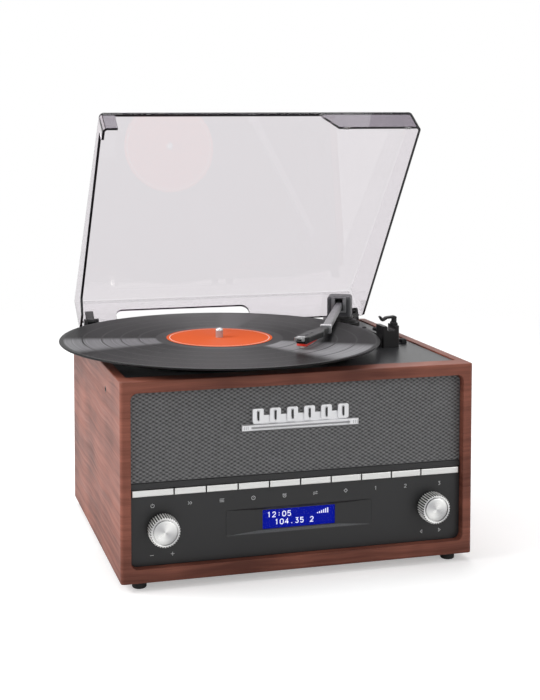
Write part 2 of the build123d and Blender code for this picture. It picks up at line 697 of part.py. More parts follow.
def along(plane, x, z=0.0):
    """A plane across the given plane's x at x, whose x runs along its y and whose y runs up."""
    return Plane(origin=plane.from_local_coords(Vector(x, 0, z)), x_dir=plane.y_dir, z_dir=plane.x_dir)


def beside(plane, y):
    """A plane beside the given plane's x, for side profiles: x runs along it, y runs up."""
    return Plane(origin=plane.from_local_coords(Vector(0, y, 0)), x_dir=plane.x_dir, z_dir=-plane.y_dir)


with BuildPart() as tonearm_base:
    with BuildSketch(Plane.XY.offset(Z_DECK)):
        with Locations((ARM_X, ARM_Y)):
            Circle(BASE_RADIUS)
    extrude(amount=BASE_HEIGHT * 0.35)
    with BuildSketch(Plane.XY.offset(Z_DECK)):
        with Locations((ARM_X, ARM_Y)):
            Circle(BASE_RADIUS * 0.84)
    extrude(amount=BASE_HEIGHT * 0.65)
    with BuildSketch(Plane.XY.offset(Z_DECK)):
        with Locations((ARM_X, ARM_Y)):
            Circle(BASE_RADIUS * 0.66)
    extrude(amount=BASE_HEIGHT)
    fillet(tonearm_base.edges().filter_by(GeomType.CIRCLE).group_by(Axis.Z)[-1], radius=0.6)
    # the lowest step ends at the rear rim of the case
    with BuildSketch(Plane.XY.offset(Z_DECK)):
        with Locations((ARM_X, Y_BACK)):
            Rectangle(2 * BASE_RADIUS, 2 * (REAR_RIM + FIT))
    extrude(amount=BASE_HEIGHT, mode=Mode.SUBTRACT)
    with BuildSketch(Plane.XY.offset(Z_DECK)):
        with Locations((ARM_X, ARM_Y)):
            Circle(ARM_HOLE - 0.1)
    extrude(amount=-BASE_SPIGOT)
    with BuildSketch(Plane.XY.offset(Z_BASE_TOP)):
        with Locations((ARM_X, ARM_Y)):
            Circle(POST_RADIUS + RUNNING)
    extrude(amount=-BASE_HEIGHT - BASE_SPIGOT, mode=Mode.SUBTRACT)
keep(tonearm_base, "tonearm_base")

YOKE_SLOT = TUBE_WIDTH + 1.6
SLOT_FLOOR = -TUBE_HEIGHT / 2 - 1.4
TUBE_TAIL = 3.4
SLOT_ROOF = TUBE_HEIGHT / 2 + 0.8 + YOKE_LENGTH / 2 * sin(radians(ARM_TILT))
SLOT_BACK = 5.5
COLLAR_LENGTH = 6.0
COLLAR_WIDTH = 10.0
PLUG_RADIUS = 2.2
PLUG_LENGTH = 6.0

with BuildPart() as arm_yoke:
    with BuildSketch(ARM_PLANE.offset(YOKE_UNDER)):
        RectangleRounded(YOKE_LENGTH, YOKE_WIDTH, 3.5)
    extrude(amount=YOKE_HEIGHT)
    fillet(arm_yoke.edges().group_by(Axis.Z)[-1], radius=3.0)
    # the slot that the tube stands in, high enough for the arm to rise
    with BuildSketch(beside(ARM_PLANE, YOKE_SLOT / 2)):
        with BuildLine():
            Polyline(
                (-SLOT_BACK, SLOT_FLOOR),
                (YOKE_LENGTH, SLOT_FLOOR),
                (YOKE_LENGTH, SLOT_ROOF),
                (-SLOT_BACK, SLOT_ROOF),
                close=True,
            )
        make_face()
    extrude(amount=YOKE_SLOT, mode=Mode.SUBTRACT)
    with BuildSketch(beside(ARM_PLANE, YOKE_WIDTH / 2)):
        Circle(TRUNNION_RADIUS + RUNNING)
    extrude(amount=YOKE_WIDTH, mode=Mode.SUBTRACT)
keep(arm_yoke, "arm_yoke")

TRIP_LENGTH = 42.0
with BuildPart() as arm_post:
    with BuildSketch(Plane.XY.offset(Z_YOKE)):
        with Locations((ARM_X, ARM_Y)):
            Circle(POST_RADIUS)
    extrude(amount=-POST_LENGTH)
    # the trip lever of the automatic stop, below the deck
    with BuildSketch(ARM_PLANE.offset(YOKE_UNDER - POST_LENGTH)):
        with Locations((TRIP_LENGTH / 2, 0)):
            SlotOverall(TRIP_LENGTH + 12, 10)
    extrude(amount=2)
keep(arm_post, "arm_post")

with BuildPart() as arm_tube:
    # a tube that widens a little from the trunnions to the collar
    with BuildSketch(along(ARM_PLANE, -TUBE_TAIL)):
        RectangleRounded(TUBE_WIDTH, TUBE_HEIGHT, 1.2)
    with BuildSketch(along(ARM_PLANE, TUBE_LENGTH - COLLAR_LENGTH / 2)):
        RectangleRounded(TUBE_FRONT_WIDTH, TUBE_HEIGHT, 1.2)
    loft()
    with BuildSketch(along(ARM_PLANE, TUBE_LENGTH - COLLAR_LENGTH)):
        RectangleRounded(COLLAR_WIDTH, TUBE_HEIGHT + 1.0, 1.5)
    extrude(amount=COLLAR_LENGTH)
    with BuildSketch(beside(ARM_PLANE, YOKE_WIDTH / 2 - 1)):
        Circle(TRUNNION_RADIUS)
    extrude(amount=YOKE_WIDTH - 2)
    # the headshell's plug goes in at the front
    with BuildSketch(along(ARM_PLANE, TUBE_LENGTH)):
        Circle(PLUG_RADIUS + RUNNING)
    extrude(amount=-PLUG_LENGTH - FIT, mode=Mode.SUBTRACT)
keep(arm_tube, "arm_tube")

# Headshell heights are measured from the arm's axis.
STYLUS_DROP = ARM_ABOVE_RIM - RECORD_ABOVE_RIM - STYLUS_GAP
SHELL_TOP = 2.6
SHELL_WALL = 1.4
SHELL_START = 1.6
LIFT_REACH = 4.0

with BuildPart() as headshell:
    with BuildSketch(SHELL_PLANE.offset(SHELL_TOP)):
        with BuildLine():
            Polyline(
                (SHELL_START, 3.6),
                (14, 4.2),
                (26, SHELL_WIDTH / 2),
                (SHELL_LENGTH - 5, SHELL_WIDTH / 2 - 1),
                (SHELL_LENGTH, SHELL_WIDTH / 2 - 3.5),
            )
            mirror(about=Plane.XZ)
            Line((SHELL_START, 3.6), (SHELL_START, -3.6))
            Line((SHELL_LENGTH, SHELL_WIDTH / 2 - 3.5), (SHELL_LENGTH, 3.5 - SHELL_WIDTH / 2))
        make_face()
    extrude(amount=-5.0)
    fillet(headshell.edges().group_by(Axis.Z)[-1], radius=0.8)
    # hollow below for the cartridge
    with BuildSketch(SHELL_PLANE.offset(SHELL_TOP - SHELL_WALL)):
        with Locations(((26 + SHELL_LENGTH - 2) / 2, 0)):
            Rectangle(SHELL_LENGTH - 2 - 26, SHELL_WIDTH - 4.6)
    extrude(amount=-6, mode=Mode.SUBTRACT)
    # finger lift at the front and plug at the rear
    with BuildSketch(SHELL_PLANE.offset(SHELL_TOP - 2.4)):
        with Locations((SHELL_LENGTH + LIFT_REACH / 2 - 1, 0)):
            RectangleRounded(LIFT_REACH + 2, 6, 1.4)
    extrude(amount=1.2)
    with BuildSketch(along(ARM_PLANE, TUBE_LENGTH - PLUG_LENGTH)):
        Circle(PLUG_RADIUS)
    extrude(amount=PLUG_LENGTH + SHELL_START + 1.0)
keep(headshell, "headshell")

CARTRIDGE_TOP = SHELL_TOP - SHELL_WALL
CARTRIDGE_BOTTOM = -3.4
with BuildPart() as cartridge:
    with BuildSketch(SHELL_PLANE.offset(CARTRIDGE_TOP)):
        with Locations((45, 0)):
            RectangleRounded(34, SHELL_WIDTH - 5.2, 1.0)
    extrude(amount=CARTRIDGE_BOTTOM - CARTRIDGE_TOP)
keep(cartridge, "cartridge")

with BuildPart() as stylus_holder:
    with BuildSketch(beside(SHELL_PLANE, 4.0)):
        with BuildLine():
            Polyline(
                (STYLUS_FROM_COLLAR - 26, CARTRIDGE_BOTTOM),
                (STYLUS_FROM_COLLAR + 5, CARTRIDGE_BOTTOM),
                (STYLUS_FROM_COLLAR + 6, CARTRIDGE_BOTTOM - 1.6),
                (STYLUS_FROM_COLLAR + 2, CARTRIDGE_BOTTOM - 2.8),
                (STYLUS_FROM_COLLAR - 22, CARTRIDGE_BOTTOM - 1.2),
                close=True,
            )
        make_face()
    extrude(amount=8.0)
    with BuildSketch(beside(SHELL_PLANE, 0.6)):
        with BuildLine():
            Polyline(
                (STYLUS_FROM_COLLAR - 5, CARTRIDGE_BOTTOM - 2.0),
                (STYLUS_FROM_COLLAR + 0.8, CARTRIDGE_BOTTOM - 2.4),
                (STYLUS_FROM_COLLAR + 0.3, -STYLUS_DROP),
                (STYLUS_FROM_COLLAR - 0.3, -STYLUS_DROP),
                close=True,
            )
        make_face()
    extrude(amount=1.2)
keep(stylus_holder, "stylus_holder")

# ---------------------------------------------------------------- arm rest, clip, cue lever
REST_BACK = REST_Y + REST_DEPTH / 2
POST_TOP = Z_RIM + REST_ABOVE_RIM
NOTCH_FLOOR = POST_TOP - NOTCH_DEPTH
CLIP_X = REST_X + NOTCH_WIDTH / 2 + 2.3
CLIP_Z = POST_TOP + 1.2
CLIP_PIN = 0.9
CUE_Y = REST_BACK + 4.0
CUE_Z = Z_RIM + 5.5
CUE_PIN = 1.2
CUE_WIDTH = 4.0
LUG_WIDTH = 2.0

with BuildPart() as arm_rest:
    with BuildSketch(Plane.XY.offset(Z_DECK)):
        with Locations((REST_X, REST_Y)):
            RectangleRounded(REST_WIDTH, REST_DEPTH, 1.5)
    extrude(amount=POST_TOP - Z_DECK)
    with BuildSketch(front_plane(REST_Y - REST_DEPTH / 2, REST_X, NOTCH_FLOOR)):
        with Locations((0, 10)):
            RectangleRounded(NOTCH_WIDTH, 20, 1.8)
    extrude(amount=-REST_DEPTH, mode=Mode.SUBTRACT)
    # lugs that carry the clip's pin
    with BuildSketch(front_plane(REST_Y - CLIP_WIDTH / 2 - FIT, CLIP_X, CLIP_Z)):
        Circle(2.0)
        with Locations((0, -1.5)):
            Rectangle(4.0, 3.0)
    extrude(amount=LUG_WIDTH)
    with BuildSketch(front_plane(REST_Y + CLIP_WIDTH / 2 + FIT, CLIP_X, CLIP_Z)):
        Circle(2.0)
        with Locations((0, -1.5)):
            Rectangle(4.0, 3.0)
    extrude(amount=-LUG_WIDTH)
    with BuildSketch(front_plane(REST_Y - REST_DEPTH, CLIP_X, CLIP_Z)):
        Circle(CLIP_PIN + RUNNING)
    extrude(amount=-2 * REST_DEPTH, mode=Mode.SUBTRACT)
    # the clip's knuckle turns in a hollow between the lugs
    with BuildSketch(front_plane(REST_Y - CLIP_WIDTH / 2 - FIT, CLIP_X, CLIP_Z)):
        Circle(2.0 + FIT)
    extrude(amount=-CLIP_WIDTH - 2 * FIT, mode=Mode.SUBTRACT)
    # lugs that carry the cue lever, behind the block
    for side in (-1, 1):
        with BuildSketch(side_plane(REST_X + side * (CUE_WIDTH / 2 + FIT + LUG_WIDTH / 2) - LUG_WIDTH / 2)):
            with BuildLine():
                Polyline(
                    (REST_BACK - 0.5, Z_DECK),
                    (CUE_Y + 3, Z_DECK),
                    (CUE_Y + 3, CUE_Z + 1),
                    (CUE_Y + 1, CUE_Z + 3),
                    (REST_BACK - 0.5, CUE_Z + 3),
                    close=True,
                )
            make_face()
            with Locations((CUE_Y, CUE_Z)):
                Circle(CUE_PIN + RUNNING, mode=Mode.SUBTRACT)
        extrude(amount=LUG_WIDTH)
keep(arm_rest, "arm_rest")

with BuildPart() as arm_clip:
    # a bent finger from the knuckle over the notch, with a turned-up tail
    with BuildSketch(front_plane(REST_Y - CLIP_WIDTH / 2, CLIP_X, CLIP_Z)):
        Circle(2.0)
        with BuildLine():
            Polyline(
                (1.6, 0.6),
                (1.9, 6.6),
                (0.4, 7.6),
                (-8.2, 6.8),
                (-12.0, 4.6),
                (-14.0, 7.6),
                (-15.2, 6.8),
                (-12.6, 2.6),
                (-11.0, 2.9),
                (-7.6, 4.9),
                (-1.6, 5.4),
                (-1.6, 0.6),
                close=True,
            )
        make_face()
    extrude(amount=-CLIP_WIDTH)
    with BuildSketch(front_plane(REST_Y - CLIP_WIDTH / 2 - FIT - LUG_WIDTH, CLIP_X, CLIP_Z)):
        Circle(CLIP_PIN)
    extrude(amount=-CLIP_WIDTH - 2 * FIT - 2 * LUG_WIDTH)
keep(arm_clip, "arm_clip")

with BuildPart() as cue_lever:
    with BuildSketch(side_plane(REST_X - CUE_WIDTH / 2, CUE_Y, CUE_Z)):
        Circle(2.6)
        with BuildLine():
            Polyline(
                (0, -2.2),
                (CUE_LENGTH - 4, -0.6),
                (CUE_LENGTH - 4, 1.4),
                (0, 2.2),
                close=True,
            )
        make_face()
    extrude(amount=CUE_WIDTH)
    with Locations((REST_X, CUE_Y + CUE_LENGTH - 3, CUE_Z + 0.4)):
        Sphere(2.6)
    with BuildSketch(side_plane(REST_X - CUE_WIDTH / 2 - FIT - LUG_WIDTH, CUE_Y, CUE_Z)):
        Circle(CUE_PIN)
    extrude(amount=CUE_WIDTH + 2 * FIT + 2 * LUG_WIDTH)
keep(cue_lever, "cue_lever")

LIFTER_TOP = Z_ARM - TUBE_HEIGHT / 2 - FIT - LIFTER_TRAVEL
LIFTER_WIDTH = 5.0
with BuildPart() as arm_lifter:
    with BuildSketch(Plane.XY.offset(LIFTER_TOP)):
        with BuildLine():
            CenterArc((ARM_X, ARM_Y), LIFTER_ARC, 270 - LIFTER_ANGLE - LIFTER_SWEEP / 2, LIFTER_SWEEP)
        trace(line_width=LIFTER_WIDTH)
    extrude(amount=-2.2)
    with BuildSketch(Plane.XY.offset(LIFTER_TOP)):
        with Locations((LIFTER_X, LIFTER_Y)):
            Circle(LIFTER_STEM)
    extrude(amount=-(LIFTER_TOP - Z_DECK) - 16)
keep(arm_lifter, "arm_lifter")


def slide_switch(y):
    """A small slide switch: a ridged cap on the deck and the stem through its slot."""
    with BuildPart() as switch:
        with BuildSketch(Plane.XY.offset(Z_DECK + FIT)):
            with Locations((SWITCH_X, y)):
                RectangleRounded(6.0, 7.0, 1.0)
        extrude(amount=3.4)
        with BuildSketch(Plane.XY.offset(Z_DECK + FIT + 3.4)):
            with Locations((SWITCH_X, y)):
                with GridLocations(0, 2.0, 1, 3):
                    Rectangle(4.4, 0.7)
        extrude(amount=0.6)
        with BuildSketch(Plane.XY.offset(Z_DECK + FIT)):
            with Locations((SWITCH_X, y)):
                Circle(SWITCH_STEM)
        extrude(amount=-DECK_THICKNESS - FIT - 2)
    return switch


keep(slide_switch(SPEED_Y), "speed_switch")
keep(slide_switch(AUTO_STOP_Y), "auto_stop_switch")

# ---------------------------------------------------------------- hinges and lid
HINGE_CENTRES = [X_LEFT + HINGE_FROM_SIDE, X_RIGHT - HINGE_FROM_SIDE]
KNUCKLE_WIDTH = HINGE_WIDTH - 2 * EAR_WIDTH - 2 * FIT
KNUCKLE_SPACE = KNUCKLE + 1.2
EAR_TOP = 3.3
BASE_FRONT = HINGE_FROM_BACK - REAR_RIM + 0.2
BASE_BACK = HINGE_FROM_BACK - 0.5
LEAF_TOP = 17.0
NOTCH_TOP = 5.2

with BuildPart() as hinge_bases:
    for hinge_x in HINGE_CENTRES:
        # foot on the rim of the case and two ears
        with BuildSketch(side_plane(hinge_x - HINGE_WIDTH / 2, HINGE_Y, Z_HINGE)):
            Circle(EAR_TOP)
            with BuildLine():
                Polyline(
                    (-EAR_TOP, 0),
                    (BASE_FRONT, -HINGE_ABOVE_RIM + 3),
                    (BASE_FRONT, -HINGE_ABOVE_RIM),
                    (BASE_BACK, -HINGE_ABOVE_RIM),
                    (BASE_BACK, -HINGE_ABOVE_RIM + 3),
                    (EAR_TOP, 0),
                    close=True,
                )
            make_face()
        extrude(amount=HINGE_WIDTH)
        # the space of the knuckle
        with BuildSketch(side_plane(hinge_x - KNUCKLE_WIDTH / 2 - FIT, HINGE_Y, Z_HINGE)):
            Circle(KNUCKLE_SPACE)
            with Locations((KNUCKLE_SPACE, 0)):
                Rectangle(2 * KNUCKLE_SPACE, 2 * KNUCKLE_SPACE)
            with Locations((0, KNUCKLE_SPACE)):
                Rectangle(3 * KNUCKLE_SPACE, 2 * KNUCKLE_SPACE)
        extrude(amount=KNUCKLE_WIDTH + 2 * FIT, mode=Mode.SUBTRACT)
        with BuildSketch(side_plane(hinge_x - HINGE_WIDTH / 2, HINGE_Y, Z_HINGE)):
            Circle(HINGE_PIN)
        extrude(amount=HINGE_WIDTH, mode=Mode.SUBTRACT)
keep(hinge_bases, "hinge_bases")

with BuildPart() as hinge_pins:
    for hinge_x in HINGE_CENTRES:
        with BuildSketch(side_plane(hinge_x - HINGE_WIDTH / 2, HINGE_Y, Z_HINGE)):
            Circle(HINGE_PIN)
        extrude(amount=HINGE_WIDTH)
keep(hinge_pins, "hinge_pins")

with BuildPart() as hinge_leaves:
    for hinge_x in HINGE_CENTRES:
        with BuildSketch(lid_side_plane(hinge_x - X_MID - KNUCKLE_WIDTH / 2)):
            Circle(KNUCKLE)
            with Locations((LID_BACK - LID_WALL - 1.1, LEAF_TOP / 2)):
                Rectangle(2.2, LEAF_TOP)
            Circle(HINGE_PIN + RUNNING, mode=Mode.SUBTRACT)
        extrude(amount=KNUCKLE_WIDTH)
keep(hinge_leaves, "hinge_leaves")

LID_FRONT = -(CASE_DEPTH - HINGE_FROM_BACK - LID_FRONT_GAP)
RECORD_CLEAR = 2.5
LID_CUT = RECORD_ABOVE_RIM + RECORD_CLEAR - HINGE_ABOVE_RIM
SPINDLE_LID_X = SPINDLE_X - X_MID
SPINDLE_LID_Y = SPINDLE_Y - HINGE_Y
FRONT_CHORD = sqrt(RECORD_RADIUS**2 - (SPINDLE_LID_Y - LID_FRONT - LID_WALL) ** 2) + RECORD_CLEAR
SIDE_CHORD = sqrt(RECORD_RADIUS**2 - (SPINDLE_LID_X + LID_WIDTH / 2 - LID_WALL) ** 2) + RECORD_CLEAR
FRONT_SKIRT_LEFT = 6.0
CUT_RAMP = 14.0
ARCH_WIDTH = 144.0
ARCH_TOP = 20.0
ARCH_CORNER = 8.0
BUMPER_LENGTH = 6.0
BUMPER_X = [SPINDLE_LID_X + FRONT_CHORD + CUT_RAMP + BUMPER_LENGTH, LID_WIDTH / 2 - LID_CORNER - 9]

with BuildPart() as lid:
    with BuildSketch(lid_side_plane(-LID_WIDTH / 2)):
        with BuildLine():
            Polyline(
                (LID_FRONT, LID_BOTTOM),
                (LID_FRONT, LID_BOTTOM + LID_FRONT_HEIGHT),
                (LID_BACK, LID_REAR_TOP),
                (LID_BACK, LID_BOTTOM),
                close=True,
            )
        make_face()
    extrude(amount=LID_WIDTH)
    under_side = lid.faces().sort_by(lambda f: -LID_PLANE.to_local_coords(f.center()).Z)[-1]
    fillet([e for e in lid.edges() if e not in under_side.edges()], radius=LID_CORNER)
    under_side = lid.faces().sort_by(lambda f: -LID_PLANE.to_local_coords(f.center()).Z)[-1]
    offset(amount=-LID_WALL, openings=under_side)
    # front: cut away for the record, a narrow skirt stays under the top
    with BuildSketch(lid_front_plane(LID_FRONT - 1)):
        with BuildLine():
            Polyline(
                (SPINDLE_LID_X - FRONT_CHORD, LID_BOTTOM - 1),
                (SPINDLE_LID_X - FRONT_CHORD, LID_BOTTOM + LID_FRONT_HEIGHT - FRONT_SKIRT_LEFT),
                (SPINDLE_LID_X + FRONT_CHORD, LID_BOTTOM + LID_FRONT_HEIGHT - FRONT_SKIRT_LEFT),
                (SPINDLE_LID_X + FRONT_CHORD + CUT_RAMP, LID_BOTTOM - 1),
                close=True,
            )
        make_face()
    extrude(amount=-LID_CORNER - 2, mode=Mode.SUBTRACT)
    # left: cut shallower beside the record
    with BuildSketch(lid_side_plane(-LID_WIDTH / 2 - 1)):
        with BuildLine():
            Polyline(
                (SPINDLE_LID_Y - SIDE_CHORD, LID_BOTTOM - 1),
                (SPINDLE_LID_Y - SIDE_CHORD, LID_CUT),
                (SPINDLE_LID_Y + SIDE_CHORD, LID_CUT),
                (SPINDLE_LID_Y + SIDE_CHORD + 12, LID_BOTTOM - 1),
                close=True,
            )
        make_face()
    extrude(amount=LID_CORNER + 2, mode=Mode.SUBTRACT)
    # rear: the lower edge is raised, cut out round the record and notched for the hinges
    with BuildSketch(lid_front_plane(LID_BACK - LID_WALL)):
        with Locations((0, LID_BOTTOM)):
            Rectangle(LID_WIDTH - 2 * LID_WALL, 11)
        with Locations((SPINDLE_LID_X, (LID_BOTTOM - ARCH_CORNER + ARCH_TOP) / 2)):
            RectangleRounded(ARCH_WIDTH, ARCH_TOP + ARCH_CORNER - LID_BOTTOM, ARCH_CORNER)
        for hinge_x in HINGE_CENTRES:
            with Locations((hinge_x - X_MID, (LID_BOTTOM + NOTCH_TOP) / 2)):
                Rectangle(HINGE_WIDTH + 1.6, NOTCH_TOP - LID_BOTTOM)
    extrude(amount=-LID_WALL - 2, mode=Mode.SUBTRACT)
    # the lower rear corners of both sides are cut off, so that they clear the case
    with BuildSketch(lid_side_plane(-LID_WIDTH / 2 - 1)):
        with BuildLine():
            Polyline(
                (-3, LID_BOTTOM - 1),
                (LID_BACK + 1, -1.5),
                (LID_BACK + 1, LID_BOTTOM - 1),
                close=True,
            )
        make_face()
    extrude(amount=LID_WIDTH + 2, mode=Mode.SUBTRACT)
keep(lid, "lid")

with BuildPart() as lid_bumpers:
    with BuildSketch(LID_PLANE.offset(LID_BOTTOM)):
        with Locations(*[(x, LID_FRONT + LID_WALL / 2) for x in BUMPER_X]):
            Rectangle(BUMPER_LENGTH, LID_WALL - 0.5)
    extrude(amount=-BUMPER + 0.3)
keep(lid_bumpers, "lid_bumpers")

# ---------------------------------------------------------------- front panel
FASCIA_Z = Z_CASE + FRAME_BOTTOM + FIT
FASCIA_TOP = FASCIA_Z + FASCIA_HEIGHT - FIT
FASCIA_MID = (FASCIA_Z + FASCIA_TOP) / 2
FASCIA_WIDTH = OPENING_WIDTH - 2 * FIT
BUTTON_Z = FASCIA_TOP - STRIP_HEIGHT - BUTTON_HEIGHT / 2 - 0.6
LCD_Z = Z_CASE + LCD_ABOVE_CASE
KNOB_Z = Z_CASE + KNOB_ABOVE_CASE
KNOB_X = [X_LEFT + KNOB_FROM_SIDE, X_RIGHT - KNOB_FROM_SIDE]
Y_FASCIA_BACK = Y_PANEL + FASCIA_THICKNESS
BUTTON_ROW = FASCIA_WIDTH - 2 * BUTTON_ROW_INSET
BUTTON_SHARE = BUTTON_ROW - (BUTTON_COUNT - 1) * BUTTON_GAP - 2 * END_BUTTON_EXTRA
BUTTON_WIDTH = BUTTON_SHARE / BUTTON_COUNT
END_BUTTON_WIDTH = BUTTON_WIDTH + END_BUTTON_EXTRA
BUSHING_RADIUS = 4.6

with BuildPart() as fascia:
    with BuildSketch(front_plane(Y_PANEL)):
        with Locations((X_MID, FASCIA_MID)):
            Rectangle(FASCIA_WIDTH, FASCIA_TOP - FASCIA_Z)
    extrude(amount=-FASCIA_THICKNESS)
    lower_corners = fascia.edges().filter_by(Axis.Y).group_by(Axis.Z)[0]
    fillet(lower_corners, radius=FRAME_CORNER)
    # raised strip above the buttons
    with BuildSketch(front_plane(Y_PANEL)):
        with Locations((X_MID, FASCIA_TOP - STRIP_HEIGHT / 2)):
            Rectangle(FASCIA_WIDTH, STRIP_HEIGHT)
    extrude(amount=0.8)
    # the slot of the button row
    with BuildSketch(front_plane(Y_PANEL)):
        with Locations((X_MID, BUTTON_Z)):
            Rectangle(BUTTON_ROW + 2 * FIT, BUTTON_HEIGHT + 2 * FIT)
    extrude(amount=-FASCIA_THICKNESS, mode=Mode.SUBTRACT)
    # the scooped field round the display, then the display's window
    with BuildSketch(front_plane(Y_PANEL)):
        with Locations((X_MID, LCD_Z)):
            RectangleRounded(SCOOP_WIDTH, SCOOP_HEIGHT, 2.0)
    extrude(amount=-SCOOP_DEPTH, taper=45, mode=Mode.SUBTRACT)
    with BuildSketch(front_plane(Y_PANEL)):
        with Locations((X_MID, LCD_Z)):
            Rectangle(LCD_WIDTH, LCD_HEIGHT)
        with Locations(*[(x, KNOB_Z) for x in KNOB_X]):
            Circle(BUSHING_RADIUS + FIT)
    extrude(amount=-FASCIA_THICKNESS, mode=Mode.SUBTRACT)
keep(fascia, "fascia")

with BuildPart() as lcd_lens:
    with BuildSketch(front_plane(Y_PANEL + SCOOP_DEPTH + 0.2)):
        with Locations((X_MID, LCD_Z)):
            Rectangle(LCD_WIDTH - 0.2, LCD_HEIGHT - 0.2)
    extrude(amount=-LENS_THICKNESS)
keep(lcd_lens, "lcd_lens")

Y_CONTROL = Y_PANEL + CONTROL_BOARD_DEPTH
with BuildPart() as lcd_module:
    with BuildSketch(front_plane(Y_FASCIA_BACK)):
        with Locations((X_MID, LCD_Z)):
            Rectangle(LCD_WIDTH + 12, LCD_HEIGHT + 12)
    extrude(amount=-(Y_CONTROL - Y_FASCIA_BACK))
keep(lcd_module, "lcd_module")

ENCODER_SIZE = 13.0
ENCODER_FRONT = Y_FASCIA_BACK + 2.5
SHAFT_END = Y_CONTROL - 2.0

with BuildPart() as encoders:
    for knob_x in KNOB_X:
        with BuildSketch(front_plane(ENCODER_FRONT, knob_x, KNOB_Z)):
            Rectangle(ENCODER_SIZE, ENCODER_SIZE)
        extrude(amount=-(Y_CONTROL - ENCODER_FRONT))
        with BuildSketch(front_plane(ENCODER_FRONT, knob_x, KNOB_Z)):
            Circle(BUSHING_RADIUS)
        extrude(amount=ENCODER_FRONT - Y_PANEL - 1.0)
        with BuildSketch(front_plane(Y_PANEL, knob_x, KNOB_Z)):
            Circle(SHAFT_RADIUS + RUNNING)
        extrude(amount=-(SHAFT_END + FIT - Y_PANEL), mode=Mode.SUBTRACT)
keep(encoders, "encoders")

KNOB_BACK = Y_PANEL - KNOB_GAP
KNOB_TAPER = 0.4
KNOB_EDGE = 0.9
KNOB_GROOVE_OUT = KNOB_RADIUS * 0.80
KNOB_GROOVE_IN = KNOB_RADIUS * 0.74
KNOB_GROOVE_DEPTH = 0.5
KNOB_SHAFT_LENGTH = SHAFT_END - KNOB_BACK


def turned_knob(x):
    """A turned knob with a fluted rim, a grooved face and its shaft."""
    with BuildPart() as knob:
        with BuildSketch(Plane(origin=(x, KNOB_BACK, KNOB_Z), x_dir=(1, 0, 0), z_dir=(0, 0, 1))):
            with BuildLine():
                Polyline(
                    (0, KNOB_SHAFT_LENGTH),
                    (SHAFT_RADIUS, KNOB_SHAFT_LENGTH),
                    (SHAFT_RADIUS, 0),
                    (KNOB_RADIUS - KNOB_EDGE, 0),
                    (KNOB_RADIUS, -KNOB_EDGE),
                    (KNOB_RADIUS - KNOB_TAPER, KNOB_EDGE - KNOB_LENGTH),
                    (KNOB_RADIUS - KNOB_TAPER - KNOB_EDGE, -KNOB_LENGTH),
                    (KNOB_GROOVE_OUT, -KNOB_LENGTH),
                    (KNOB_GROOVE_OUT, KNOB_GROOVE_DEPTH - KNOB_LENGTH),
                    (KNOB_GROOVE_IN, KNOB_GROOVE_DEPTH - KNOB_LENGTH),
                    (KNOB_GROOVE_IN, -KNOB_LENGTH),
                    (0, -KNOB_LENGTH),
                    close=True,
                )
            make_face()
        revolve(axis=Axis((x, KNOB_BACK, KNOB_Z), (0, 1, 0)))
        # flutes round the rim
        with BuildSketch(front_plane(KNOB_BACK - 1.5, x, KNOB_Z)):
            with PolarLocations(KNOB_RADIUS + 0.1, KNOB_FLUTES):
                Circle(0.55)
        extrude(amount=KNOB_LENGTH, mode=Mode.SUBTRACT)
    return knob


keep(turned_knob(KNOB_X[0]), "volume_knob")
keep(turned_knob(KNOB_X[1]), "tune_knob")

BUTTON_NAMES = ["power", "scan", "menu", "info", "alarm", "mode", "preset", "1", "2", "3"]
BUTTON_FRONT = Y_PANEL - BUTTON_STANDOUT
SWITCH_FRONT = Y_CONTROL - 4.5
STEM_BACK = SWITCH_FRONT - BUTTON_TRAVEL - FIT
BUTTON_WIDTHS = [END_BUTTON_WIDTH] + [BUTTON_WIDTH] * (BUTTON_COUNT - 2) + [END_BUTTON_WIDTH]
BUTTON_CENTRES = [
    X_MID - BUTTON_ROW / 2 + sum(BUTTON_WIDTHS[:i]) + i * BUTTON_GAP + BUTTON_WIDTHS[i] / 2
    for i in range(BUTTON_COUNT)
]

for button_name, button_x, button_width in zip(BUTTON_NAMES, BUTTON_CENTRES, BUTTON_WIDTHS):
    with BuildPart() as button:
        with BuildSketch(front_plane(BUTTON_FRONT, button_x, BUTTON_Z)):
            Rectangle(button_width, BUTTON_HEIGHT)
        extrude(amount=-(BUTTON_STANDOUT + FASCIA_THICKNESS))
        fillet(button.edges().group_by(Axis.Y)[0], radius=0.6)
        # wings behind the fascia keep the button in, a stem reaches the switch
        with BuildSketch(front_plane(Y_FASCIA_BACK + FIT, button_x, BUTTON_Z)):
            Rectangle(button_width - 2, BUTTON_HEIGHT + 2.4)
        extrude(amount=-1.0)
        with BuildSketch(front_plane(Y_FASCIA_BACK, button_x, BUTTON_Z)):
            Rectangle(button_width - 2, BUTTON_HEIGHT - 1)
        extrude(amount=-FIT)
        with BuildSketch(front_plane(Y_FASCIA_BACK + 1.0, button_x, BUTTON_Z)):
            Circle(1.6)
        extrude(amount=-(STEM_BACK - Y_FASCIA_BACK - 1.0))
    keep(button, f"button_{button_name}")

with BuildPart() as control_board:
    with BuildSketch(front_plane(Y_CONTROL)):
        with Locations((X_MID, FASCIA_MID)):
            Rectangle(FASCIA_WIDTH - 8, FASCIA_TOP - FASCIA_Z - 4)
    extrude(amount=-BOARD_THICKNESS)
    # a push switch behind each button
    with BuildSketch(front_plane(Y_CONTROL)):
        with Locations(*[(x, BUTTON_Z) for x in BUTTON_CENTRES]):
            Rectangle(6, 6)
    extrude(amount=3.5)
    with BuildSketch(front_plane(Y_CONTROL)):
        with Locations(*[(x, BUTTON_Z) for x in BUTTON_CENTRES]):
            Circle(1.7)
    extrude(amount=4.5)
keep(control_board, "control_board")

